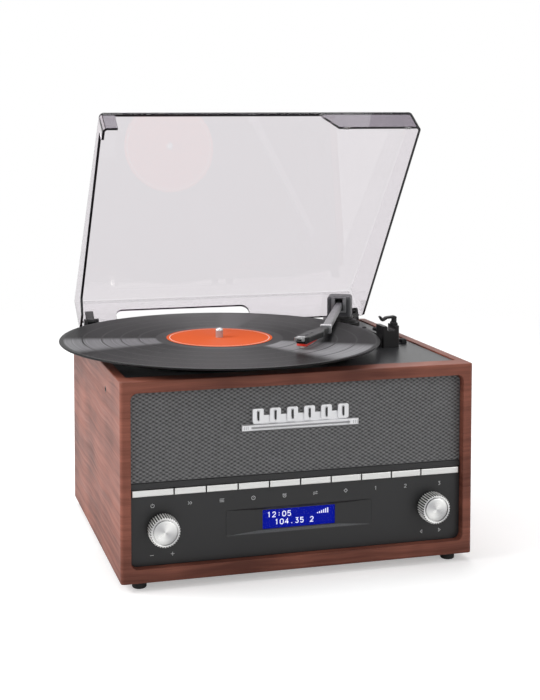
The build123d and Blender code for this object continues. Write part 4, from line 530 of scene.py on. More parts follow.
@dataclass(frozen=True)
class WovenGrille(Finish):
    """Steel mesh in a hopsack weave: dark holes in staggered rows between paler wires."""

    wire: str = "#7e7e7f"
    column_mm: float = 2.85
    row_mm: float = 3.4
    wire_depth_mm: float = 0.6
    speck_mm: Row = (1.1, 1.1, 1.3)
    uneven: float = 0.16

    def pattern(self, graph: Graph) -> None:
        """Draws the staggered holes, with the wires bulging between them."""
        point = graph.split()
        across = graph.calc("MULTIPLY", point["X"], math.pi / (self.column_mm * MM))
        up = graph.calc("MULTIPLY", point["Z"], 2 * math.pi / (self.row_mm * MM))
        weave = graph.calc("MULTIPLY", graph.calc("COSINE", across), graph.calc("COSINE", up))
        height = graph.calc("MULTIPLY_ADD", weave, -0.5, 0.5)
        specks = graph.spread(graph.noise(self.speck_mm), -self.uneven, self.uneven)
        tone = graph.mix(graph.calc("ADD", height, specks, clamp=True), self.colour, self.wire)
        graph.feed({"Base Color": tone, "Normal": self.relief(graph, height, self.wire_depth_mm)})


@dataclass(frozen=True)
class ClearPlastic(Finish):
    """Polished clear or smoked styrene: sharp reflections, and a tint that grows with its depth."""

    roughness: float = 0.0
    depth: float = 205.0
    ior: float = 1.49
    shadow: str = "#d8d2d8"

    def pattern(self, graph: Graph) -> None:
        """Makes the surface clear and the depth smoky; its shadow lets light through."""
        graph.feed({"Base Color": linear("#ffffff"), "Transmission Weight": 1.0, "IOR": self.ior})
        smoke = graph.add("VolumeAbsorption", {"Color": linear(self.colour), "Density": self.depth})
        through = graph.add("BsdfTransparent", {"Color": linear(self.shadow)})
        path = graph.add("LightPath").outputs
        light = graph.calc("MAXIMUM", path["Is Shadow Ray"], path["Is Diffuse Ray"])
        both = graph.add("MixShader", {0: light, 1: graph.target.outputs[0], 2: through.outputs[0]})
        output = graph.tree.nodes["Material Output"]
        graph.fill(output, {"Volume": smoke.outputs[0], "Surface": both.outputs[0]})


@dataclass(frozen=True)
class Backlit(Finish):
    """A liquid-crystal face lit from behind: an even glow with faint rows of pixels."""

    glow: float = 0.55
    bright: str = "#1020a4"
    # the rows are 0.3 mm apart; drawn 0.9 mm apart so that they show
    row_mm: Row = (40.0, 40.0, 0.9)
    row_share: Point = (0.35, 0.65)

    def pattern(self, graph: Graph) -> None:
        """Adds the glow, with the pixel rows as a faint line pattern."""
        rows = graph.spread(graph.noise(self.row_mm), *self.row_share)
        lit = graph.mix(rows, self.colour, self.bright)
        graph.feed({"Base Color": lit, "Emission Color": lit, "Emission Strength": self.glow})


@dataclass(frozen=True)
class Felt(Finish):
    """Pressed wool felt: matted fibres that catch light at a low angle."""

    pale: str = "#4a4a4c"
    fibre_mm: float = 0.9
    fibre_depth_mm: float = 0.2
    fuzz: float = 0.4
    pale_share: float = 0.5

    def pattern(self, graph: Graph) -> None:
        """Adds the matted fibres and their fuzz."""
        fibres = graph.noise(self.fibre_mm, detail=5.0, rough=0.7)
        tone = graph.mix(graph.spread(fibres, 0.0, self.pale_share), self.colour, self.pale)
        graph.feed({"Base Color": tone, "Sheen Weight": self.fuzz})
        graph.feed({"Normal": self.relief(graph, fibres, self.fibre_depth_mm)})


@dataclass(frozen=True)
class BuiltBoard(Finish):
    """A glass-epoxy circuit board under green solder mask: tracks show as paler lines."""

    track: str = "#2f7a48"
    track_mm: float = 2.4
    line_share: float = 0.08

    def pattern(self, graph: Graph) -> None:
        """Draws tracks as the borders of small cells."""
        inputs = {"Vector": graph.place([self.track_mm] * 3), "Scale": 1.0}
        cells = graph.add("TexVoronoi", inputs, feature="DISTANCE_TO_EDGE").outputs["Distance"]
        line = graph.calc("LESS_THAN", cells, self.line_share)
        graph.feed({"Base Color": graph.mix(line, self.colour, self.track), "Normal": self.rounded(graph)})


MAHOGANY = MahoganyVinyl("mahogany_vinyl_wrap", "#80493a", 0.45, edge_mm=1.3, specular=0.25)
# painted sheen: the deck is a lighter copy of the black mouldings, for the white that it reflects at grazing
# angles
DECK_ABS = MouldedPlastic("black_abs_deck", "#1e1f21", 0.34)
BLACK_ABS = MouldedPlastic("black_abs_mouldings", "#0c0c0d", 0.36, specular=0.35)
GREY_ABS = MouldedPlastic("dark_grey_abs", "#47484b", 0.4)
TUBE_PAINT = MouldedPlastic("grey_stoved_paint", "#8e8f91", 0.3, grain_depth_mm=0.01)
COLLAR_METAL = BrushedMetal("drawn_nickel_collar", "#b9b9ba", 0.3, lay=Lay.NONE)
FASCIA_ABS = MouldedPlastic("charcoal_abs_fascia", "#2a2a2b", 0.4, mottle_mm=60.0, mottle=0.06, specular=0.4)
# the lower lip of the trough is glossier, and its lighter colour is a painted highlight, as it faces the
# light
TROUGH_ABS = MouldedPlastic("trough_lip_painted_highlight", "#4a4b4d", 0.3, specular=0.6, grain_depth_mm=0.005)
RUBBER = MouldedPlastic("black_rubber", "#131314", 0.75, grain_mm=0.9)
HARDBOARD = MouldedPlastic("black_faced_hardboard", "#24211f", 0.7, grain_mm=1.4, grain_depth_mm=0.08)
STAINED_MDF = MouldedPlastic("stained_fibre_board", "#3a2e25", 0.85, grain_mm=1.2)
ZINC = BrushedMetal("black_zinc_steel", "#5a5a5c", 0.35, lay=Lay.NONE)
TURNED_STEEL = SpunMetal("turned_bright_steel", "#c4c4c6", 0.22, axis=Turned.Z)
NICKEL = BrushedMetal("nickel_plate", "#d2d0ca", 0.18, lay=Lay.NONE, scratch=0.05)
BRASS = SpunMetal("turned_brass", "#cda55b", 0.25, axis=Turned.Z)
CAST_ALLOY = SpunMetal("turned_cast_alloy", "#a9aaac", 0.35, axis=Turned.Z)
MOTOR_CAN = BrushedMetal("zinc_plated_can", "#8d8f92", 0.35, lay=Lay.NONE)
KNOB_METAL = KnobMetal("spun_knurled_aluminium", "#f4f4f2", 0.28, spin=0.45)
KNOB_SIDE = KnurledSide("silver_lacquered_knurl", "#f2f2f0", 0.35)
KEY_METAL = BrushedMetal("brushed_aluminium_keys", "#e4e4e2", 0.34)
SATIN_CHROME = SpunMetal("satin_chrome_trim", "#e2e2e4", 0.3, spin=0.0)
# painted shade: a dark strip for the shade inside each slot of the badge's fins
BADGE_SLOT_SHADE = Finish("badge_slot_painted_shade", "#2c2c2e")
# painted shade: grey lines for the shade of the groove along the badge's bar and of the ribs at its ends
BADGE_GROOVE_SHADE = Finish("badge_groove_painted_shade", "#9a9a9c", 0.4)
GRILLE_MESH = WovenGrille("hopsack_steel_mesh", "#1f1f20")
RECORD_PVC = PressedRecord("pressed_pvc_record", "#0a0a0b", 0.33, edge_mm=0.2)
SLIP_FELT = Felt("black_wool_felt", "#1a1a1b", 0.95)
SMOKED_LID = ClearPlastic("smoked_styrene_lid", "#ae9aab", depth=135.0)
# painted shade: the front and rear walls are darker copies of the lid's smoke; the front wall stands edge-on
# to the light, so it looks darker than the roof
SMOKED_FRONT = ClearPlastic("smoked_styrene_front_wall", "#9d92a2", depth=420.0, ior=1.2)
SMOKED_REAR = ClearPlastic("smoked_styrene_rear_wall", "#aa9aa8", depth=190.0, ior=1.2)
# painted shade: the lid's cut edges are opaque and dark, for the light that is trapped inside the styrene
LID_EDGE = MouldedPlastic("smoked_styrene_cut_edge", "#1d1c20", 0.25, grain_depth_mm=0.005)
CLEAR_WINDOW = ClearPlastic("clear_acrylic_window", "#f4f6ff", depth=20.0, ior=1.08)
CLEAR_PVC = ClearPlastic("soft_clear_pvc", "#e6e6e6", 0.25, depth=60.0)
LCD_BLUE = Backlit("blue_backlit_display", "#050c90", 0.6, glow=0.62, specular=0.05)
LCD_WHITE = Backlit("white_display_segments", "#dfe6ff", 0.3, glow=0.9, bright="#f2f5ff")
PRINT = Finish("white_pad_print", "#c9cacb", 0.6)
STYLUS_RED = MouldedPlastic("red_stylus_moulding", "#e6321e", 0.3)
STYLUS_WHITE = MouldedPlastic("white_stylus_tip", "#e6e4de", 0.4)
CONE_PAPER = Felt("black_paper_cone", "#191919", 0.9, fibre_mm=1.6)
GREEN_BOARD = BuiltBoard("green_circuit_board", "#14502b", 0.4)


# ---- shapes


# two directions this close count as opposite, and two points this close as one
TINY = 1e-6
# a mitre reaches at most twice as far as half the line's width
SHARPEST_MITRE = 0.5
# flutes fade out this many of their own depths inside the rim, and this rounds their bottoms
FLUTE_FADE, FLUTE_ROUNDING = 1.6, 0.7


def middle(box: Box) -> Vector:
    """The middle of a box, from its low and its high corner."""
    return (box[0] + box[1]) / 2


@dataclass(frozen=True)
class Sheet:
    """A flat drawing on a piece: right and up run along it, out stands on it; sizes are mm."""

    origin: Vector
    right: Vector = RIGHT
    up: Vector = UP

    @property
    def out(self) -> Vector:
        """The direction that stands on the sheet."""
        return self.right.cross(self.up)

    def at(self, across: float, height: float, proud: float = 0.0) -> Vector:
        """A point of the drawing, in the frame of the whole object."""
        return self.origin + (self.right * across + self.up * height + self.out * proud) * MM

    def moved(self, across: float, height: float) -> "Sheet":
        """The same sheet with its origin moved along it."""
        return Sheet(self.at(across, height), self.right, self.up)


def facing(box: Box, depth: float) -> Sheet:
    """A sheet that faces the front, in the middle of a box seen from there, at a depth in metres."""
    centre = middle(box)
    return Sheet(Vector((centre.x, depth, centre.z)))


def ribbon(shape: Shape, sheet: Sheet, line: Line, width: float) -> None:
    """Draws a line of even width with mitred corners.

    Args:
        shape: The mesh that it is drawn into.
        sheet: Where the drawing lies.
        line: The points of the line, in mm.
        width: Its width, in mm.
    """
    points = [Vector(point) for point in line]
    closed = (points[0] - points[-1]).length < TINY
    if closed:
        points.pop()
    count = len(points)
    sides: list[tuple[Vertex, Vertex]] = []
    for i, point in enumerate(points):
        before = points[i - 1] if closed or i else point
        after = points[(i + 1) % count] if closed or i < count - 1 else point
        first = (point - before).normalized() if (point - before).length else (after - point).normalized()
        second = (after - point).normalized() if (after - point).length else first
        along = (first + second).normalized() if (first + second).length > TINY else first
        side = Vector((-along.y, along.x))
        reach = width / 2 / max(SHARPEST_MITRE, abs(side.dot(Vector((-first.y, first.x)))))
        left, right = point + side * reach, point - side * reach
        sides.append((shape.verts.new(sheet.at(*left)), shape.verts.new(sheet.at(*right))))
    for i in range(count if closed else count - 1):
        (a, b), (c, d) = sides[i], sides[(i + 1) % count]
        shape.faces.new((b, d, c, a))


def arc(x: float, y: float, radius: float, start: float, end: float, steps: int = 20) -> list[Point]:
    """Points along an arc, with its angles in degrees."""
    angles = [math.radians(start + (end - start) * i / steps) for i in range(steps + 1)]
    return [(x + radius * math.cos(a), y + radius * math.sin(a)) for a in angles]


def lathe(
    shape: Shape, sheet: Sheet, profile: Line, steps: int, flutes: int = 0, depth: float = 0.0
) -> None:
    """Turns a profile about the sheet's out direction, with flutes round its rim.

    Args:
        shape: The mesh that it is turned in.
        sheet: Its origin is the centre of the turned piece.
        profile: Radius and height of each ring in mm; a ring at radius 0 closes the end.
        steps: The number of faces round each ring.
        flutes: The number of flutes.
        depth: How deep they are at the widest ring, in mm.
    """
    widest = max(radius for radius, _ in profile)
    rings: list[list[Vertex]] = []
    for radius, height in profile:
        share = max(0.0, 1 - (widest - radius) / (FLUTE_FADE * depth)) if depth else 0.0
        ring = []
        for i in range(steps if radius else 1):
            angle = 2 * math.pi * i / steps
            cut = depth * share * (0.5 - 0.5 * math.cos(flutes * angle)) ** FLUTE_ROUNDING
            place = sheet.at((radius - cut) * math.cos(angle), (radius - cut) * math.sin(angle), height)
            ring.append(shape.verts.new(place))
        rings.append(ring)
    for lower, upper in zip(rings, rings[1:]):
        for i in range(steps):
            around = ((lower, i), (lower, i + 1), (upper, i + 1), (upper, i))
            # a closed end is one corner, which counts once
            shape.faces.new(list(dict.fromkeys(ring[k % len(ring)] for ring, k in around)))


def rounded_block(shape: Shape, sheet: Sheet, block: Sequence[float]) -> None:
    """A block with rounded edges, centred on the sheet's origin.

    Args:
        shape: The mesh that it goes into.
        sheet: Its place and direction.
        block: Its length along right, up and out, and the radius of its edges, in mm.
    """
    *size, radius = block
    made = bmesh.ops.create_cube(shape, size=1.0)["verts"]
    for vert in made:
        vert.co = sheet.at(*[vert.co[i] * size[i] for i in range(3)])
    edges = list({edge for vert in made for edge in vert.link_edges})
    bmesh.ops.bevel(shape, geom=edges, offset=radius * MM, segments=3, profile=0.5, affect="EDGES")


# single-stroke figures, 2 wide and 3 high, drawn about their centre
FIGURES: dict[str, Sequence[Line]] = {
    "0": [[*arc(0, 0.5, 1, 0, 180, 10), *arc(0, -0.5, 1, 180, 360, 10), (1, 0.5)]],
    "1": [[(-0.6, 0.9), (0.1, 1.5), (0.1, -1.5)]],
    "2": [[*arc(0, 0.6, 0.9, 170, -30, 10), (-1, -1.5), (1, -1.5)]],
    "3": [[(-0.8, 1.5), (0.8, 1.5), (-0.1, 0.3), *arc(0, -0.6, 0.9, 80, -150, 10)]],
    "4": [[(0.5, -1.5), (0.5, 1.5), (-1, -0.6), (1, -0.6)]],
    "5": [[(0.9, 1.5), (-0.7, 1.5), (-0.8, 0.2), *arc(0, -0.55, 0.95, 110, -150, 10)]],
    "7": [[(-0.9, 1.5), (0.9, 1.5), (-0.3, -1.5)]],
    "8": [arc(0, 0.75, 0.75, -90, 270, 14), arc(0, -0.75, 0.8, 90, 450, 14)],
    ":": [[(-0.25, 0.7), (0.25, 0.7)], [(-0.25, -0.7), (0.25, -0.7)]],
    ".": [[(-0.25, -1.3), (0.25, -1.3)]],
    " ": [],
}


class Mark(Enum):
    """Plain pictograms printed by the keys and knobs, about 3.4 mm high, as strokes."""

    POWER = (arc(0, -0.1, 1.5, 120, 420, 18), [(0, 0.3), (0, 1.8)])
    SCAN = ([(-1.6, 1.3), (-0.3, 0), (-1.6, -1.3)], [(0.3, 1.3), (1.6, 0), (0.3, -1.3)])
    MENU = ([(-2, 1.2), (2, 1.2)], [(-2, 0), (2, 0)], [(-2, -1.2), (2, -1.2)])
    INFO = (arc(0, 0, 1.6, 0, 360), [(0, -0.4), (0, 0.4)])
    ALARM = (
        arc(0, -0.2, 1.4, 0, 360),
        [(0, 0.6), (0, -0.2), (0.7, -0.2)],
        [(-1.7, 1.0), (-1.0, 1.7)],
        [(1.7, 1.0), (1.0, 1.7)],
    )
    MODE = ([(-2, 0.7), (1.8, 0.7), (1, 1.5)], [(2, -0.7), (-1.8, -0.7), (-1, -1.5)])
    PRESET = ([(0, 1.6), (1.6, 0), (0, -1.6), (-1.6, 0), (0, 1.6)],)
    QUIETER = ([(-1.6, 0), (1.6, 0)],)
    LOUDER = ([(-1.6, 0), (1.6, 0)], [(0, -1.6), (0, 1.6)])
    DOWN = ([(1, 1.4), (-0.8, 0), (1, -1.4), (1, 1.4)],)
    UP = ([(-1, 1.4), (0.8, 0), (-1, -1.4), (-1, 1.4)],)


@dataclass(frozen=True)
class Lettering:
    """How figures are printed: their scale, their pitch and the width of their strokes."""

    scale: float
    pitch_mm: float
    stroke_mm: float

    def write(self, shape: Shape, sheet: Sheet, row: str, start: float, height: float) -> None:
        """Writes a row of figures.

        Args:
            shape: The mesh that they are drawn into.
            sheet: Where the drawing lies.
            row: The figures, with stops and colons.
            start: The middle of the first figure, in mm.
            height: The middle of the row, in mm.
        """
        for column, figure in enumerate(row):
            place = start + self.pitch_mm * column
            for line in FIGURES[figure]:
                moved = [(self.scale * x + place, self.scale * y + height) for x, y in line]
                ribbon(shape, sheet, moved, self.stroke_mm)


# ---- sub-assemblies


class Assembly:
    """A group of solids that are dressed together, with the trim that is added to them."""

    dressing: ClassVar[Mapping[str, Finish]]

    def build(self) -> None:
        """Gives the group's solids their finishes and adds its trim."""
        for name, finish in self.dressing.items():
            mesh = NODES[name].data
            mesh.materials.clear()
            mesh.materials.append(finish.material())
            LOG.info("%s: %s", type(self).__name__, name)
        self.trim()

    def trim(self) -> None:
        """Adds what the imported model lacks; a plain group has nothing to add."""

    def piece(
        self, name: str, shape: Shape, body: str, finish: Finish, slot: str, smooth_deg: float = 35.0
    ) -> bpy.types.Object:
        """Turns a finished shape into a piece that moves with a body.

        Args:
            name: The name of the piece.
            shape: Its mesh, in the frame of the whole object; it is used up.
            body: The body that it moves with.
            finish: Its finish.
            slot: Not used.
            smooth_deg: Edges flatter than this are shaded smooth.

        Returns:
            The piece.
        """
        mesh = bpy.data.meshes.new(name)
        bmesh.ops.recalc_face_normals(shape, faces=shape.faces)
        shape.to_mesh(mesh)
        shape.free()
        mesh.polygons.foreach_set("use_smooth", [True] * len(mesh.polygons))
        mesh.set_sharp_from_angle(angle=math.radians(smooth_deg))
        mesh.materials.append(finish.material())
        made = bpy.data.objects.new(name, mesh)
        bpy.context.scene.collection.objects.link(made)
        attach(made, body)
        LOG.info("%s: %s", type(self).__name__, name)
        return made


class Cabinet(Assembly):
    """The wrapped wooden case, its feet and the panel with sockets at the back."""

    dressing = {
        "wooden_case": MAHOGANY,
        "feet": RUBBER,
        "rear_panel": HARDBOARD,
        "panel_screws": ZINC,
        "line_out_sockets": BLACK_ABS,
        "dc_inlet": BLACK_ABS,
        "mini_jack_sockets": BLACK_ABS,
        "aerial_socket": NICKEL,
    }


@dataclass
class Deck(Assembly):
    """The moulded deck with its two slide switches, and the drive below it."""

    dressing = {
        "deck_plate": DECK_ABS,
        "speed_switch": BLACK_ABS,
        "auto_stop_switch": BLACK_ABS,
        "bearing_housing": BRASS,
        "motor": MOTOR_CAN,
        "motor_pulley": BRASS,
        "drive_belt": RUBBER,
    }
    speeds: tuple[str, ...] = ("33", "45", "78")
    lettering: Lettering = Lettering(0.62, 1.612, 0.32)
    # how far the first row is from the switch's middle and from its front end, and the rows' pitch
    beside_mm: float = 5.2
    behind_mm: float = 1.5
    row_mm: float = 4.2
    proud_mm: float = 0.03

    def trim(self) -> None:
        """Prints the three speeds beside the speed switch."""
        shape = bmesh.new()
        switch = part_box("speed_switch")
        place = Vector((middle(switch).x, switch[0].y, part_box("deck_plate")[1].z))
        sheet = Sheet(place + Vector((self.beside_mm, 0, self.proud_mm)) * MM, RIGHT, UP.cross(RIGHT))
        for row, speed in enumerate(self.speeds):
            self.lettering.write(shape, sheet, speed, 0.0, self.behind_mm + self.row_mm * row)
        self.piece("speed_figures", shape, "cabinet", PRINT, "badge_chrome")


class Turntable(Assembly):
    """Platter, slip mat, record and spindle."""

    dressing = {
        "platter": CAST_ALLOY,
        "platter_mat": SLIP_FELT,
        "record": RECORD_PVC,
        "spindle": TURNED_STEEL,
    }


@dataclass
class Tonearm(Assembly):
    """The arm with its turret, headshell and cartridge, and the lifter under it."""

    dressing = {
        "tonearm_base": BLACK_ABS,
        "headshell": BLACK_ABS,
        "cartridge": BLACK_ABS,
        "arm_yoke": GREY_ABS,
        "arm_tube": TUBE_PAINT,
        "arm_post": TURNED_STEEL,
        "arm_lifter": RUBBER,
        "stylus_holder": STYLUS_RED,
    }
    # places along the tube are counted from the pivot, and those along the headshell from the collar
    collar_mm: float = 162.0
    shell_turn_deg: float = 15.0
    # the frame round the tube's slot as four bars, each with its middle and then its block
    frame_out_mm: float = 13.5
    frame_mm: tuple[Row, ...] = (
        (-5.925, 1.2, 3.65, 16.4, 1.2, 0.4),
        (5.925, 1.2, 3.65, 16.4, 1.2, 0.4),
        (0.0, -6.1, 15.5, 1.8, 1.25, 0.4),
        (0.0, 8.7, 15.5, 1.4, 1.25, 0.4),
    )
    grips_out_mm: Row = (156.8, 158.25, 159.7, 161.15)
    grip_mm: Row = (10.5, 8.0, 1.3, 0.45)
    # places on the headshell: distance from the collar, and height over the tube's axis
    lift_at_mm: Point = (64.6, 1.35)
    lift_mm: Row = (6.4, 8.0, 2.2, 0.7)
    screws_at_mm: Line = ((36.0, 2.55), (49.0, 2.55))
    screw_mm: Line = ((1.5, 0), (1.4, 0.45), (1.1, 0.6), (0, 0.62))
    screw_sides: int = 24
    tip_at_mm: Point = (59.6, -5.6)
    tip_mm: Row = (5.0, 4.0, 2.2, 0.6)

    def direction(self) -> Vector:
        """The direction of the tube from the pivot to the collar."""
        axis = JOINTS["arm_tilt"]["axis"]
        return Vector((-axis[1], axis[0], 0)).normalized()

    def arm_sheet(self, out_mm: float) -> Sheet:
        """A sheet across the tube, so far from the pivot; right runs to the arm's left side."""
        along = self.direction()
        return Sheet(Vector(JOINTS["arm_tilt"]["pos_m"]) + along * out_mm * MM, UP.cross(along))

    def shell_sheet(self, out_mm: float, up_mm: float) -> Sheet:
        """A level sheet on the headshell; right runs to its front, and out points up."""
        along = self.direction()
        along.rotate(Matrix.Rotation(-math.radians(self.shell_turn_deg), 3, "Z"))
        place = self.arm_sheet(self.collar_mm).origin + (along * out_mm + UP * up_mm) * MM
        return Sheet(place, along, UP.cross(along))

    def trim(self) -> None:
        """Adds the paler frame, the collar's grips, the lift, its screws and the stylus's pale tip."""
        bars, grips, lift, screws, tip = [bmesh.new() for _ in range(5)]
        for across, height, *block in self.frame_mm:
            rounded_block(bars, self.arm_sheet(self.frame_out_mm).moved(across, height), block)
        for out_mm in self.grips_out_mm:
            rounded_block(grips, self.arm_sheet(out_mm), self.grip_mm)
        for place in self.screws_at_mm:
            lathe(screws, self.shell_sheet(*place), self.screw_mm, self.screw_sides)
        rounded_block(lift, self.shell_sheet(*self.lift_at_mm), self.lift_mm)
        rounded_block(tip, self.shell_sheet(*self.tip_at_mm), self.tip_mm)
        self.piece("arm_slot_frame", bars, "arm_turret", TUBE_PAINT, "black_abs")
        self.piece("arm_collar", grips, "tonearm", COLLAR_METAL, "nickel")
        self.piece("headshell_lift", lift, "tonearm", COLLAR_METAL, "nickel")
        self.piece("headshell_screws", screws, "tonearm", ZINC, "zinc_screw")
        self.piece("stylus_tip_guard", tip, "tonearm", STYLUS_WHITE, "black_abs")


class ArmRest(Assembly):
    """The rest block with its clip and cue lever."""

    dressing = {"arm_rest": BLACK_ABS, "arm_clip": BLACK_ABS, "cue_lever": BLACK_ABS}


@dataclass
class DustCover(Assembly):
    """The smoked lid on its two hinges."""

    dressing = {
        "lid": SMOKED_LID,
        "lid_bumpers": CLEAR_PVC,
        "hinge_bases": BLACK_ABS,
        "hinge_leaves": BLACK_ABS,
        "hinge_pins": TURNED_STEEL,
    }
    # the widest cut edge, the depth that counts as roof, and that of the front and rear walls
    edge_mm: float = 2.8
    roof_mm: float = 25.0
    wall_mm: float = 9.0
    # how squarely a cut edge has to face down, and a wall the front
    edge_square: float = 0.6
    wall_square: float = 0.8

    def trim(self) -> None:
        """Paints shade: the cut edges, which light can't get out of, get an opaque dark finish, and the front
        and rear walls darker copies of the smoke.
        """
        mesh = NODES["lid"].data
        for finish in (SMOKED_FRONT, SMOKED_REAR, LID_EDGE):
            mesh.materials.append(finish.material())
        hinge = Vector(JOINTS["lid_swing"]["pos_m"])
        tip = max((vert.co for vert in mesh.vertices), key=lambda co: (co - hinge).yz.length)
        forward = Vector((0, tip.y - hinge.y, tip.z - hinge.z)).normalized()
        down = RIGHT.cross(forward)
        roof = min(vert.co.dot(down) for vert in mesh.vertices)
        front = max(vert.co.dot(forward) for vert in mesh.vertices) - self.wall_mm * MM
        rear = min(vert.co.dot(forward) for vert in mesh.vertices) + self.wall_mm * MM
        for face in mesh.polygons:
            corners = [mesh.vertices[i].co for i in face.vertices]
            around = sum((a - b).length for a, b in zip(corners, corners[1:] + corners[:1]))
            thin = face.area / (around / 2) < self.edge_mm * MM
            below = face.center.dot(down) - roof > self.roof_mm * MM
            wall = abs(face.normal.dot(forward)) > self.wall_square
            finish = SMOKED_LID
            if thin and below and face.normal.dot(down) > self.edge_square:
                finish = LID_EDGE
            elif wall and face.center.dot(forward) > front:
                finish = SMOKED_FRONT
            elif wall and face.center.dot(forward) < rear:
                finish = SMOKED_REAR
            face.material_index = mesh.materials.find(finish.name)


@dataclass
class SpeakerFront(Assembly):
    """The woven grille with its badge, and the speakers behind it."""

    dressing = {
        "grille": GRILLE_MESH,
        "badge": SATIN_CHROME,
        "baffle": STAINED_MDF,
        "speaker_baskets": MOTOR_CAN,
        "speaker_cones": CONE_PAPER,
    }
    proud_mm: float = 0.02
    # heights are counted from the middle of the badge's bar, and the ribs from its ends
    bar_mm: float = 5.6
    cap_mm: float = 8.0
    band_at_mm: float = -0.1
    band_mm: float = 1.5
    ribs_at_mm: Row = (1.6, 3.3, 5.0)
    rib_half_mm: float = 1.4
    rib_mm: float = 0.5
    fins_at_mm: Row = (-38.75, -23.25, -7.75, 7.75, 23.25, 38.75)
    slot_mm: Point = (6.3, 13.9)
    slot_width_mm: float = 1.7

    def trim(self) -> None:
        """Adds painted shade: a grey band along the badge's bar and grey ribs at its ends for the shade of
        its groove and ribs, and a dark strip for the shade of the slot in each fin.
        """
        low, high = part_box("badge")
        half = (high.x - low.x) / 2 / MM
        place = (middle((low, high)).x, low.y - self.proud_mm * MM, low.z + self.bar_mm / 2 * MM)
        sheet = Sheet(Vector(place))
        band, slots = bmesh.new(), bmesh.new()
        ends = [(side * (half - self.cap_mm), self.band_at_mm) for side in (-1, 1)]
        ribbon(band, sheet, ends, self.band_mm)
        for side in (-1, 1):
            for rib in self.ribs_at_mm:
                across = side * (half - rib)
                ribbon(band, sheet, [(across, -self.rib_half_mm), (across, self.rib_half_mm)], self.rib_mm)
        self.piece("badge_band", band, "cabinet", BADGE_GROOVE_SHADE, "badge_chrome")
        for across in self.fins_at_mm:
            ribbon(slots, sheet, [(across, height) for height in self.slot_mm], self.slot_width_mm)
        self.piece("badge_slots", slots, "cabinet", BADGE_SLOT_SHADE, "badge_chrome")


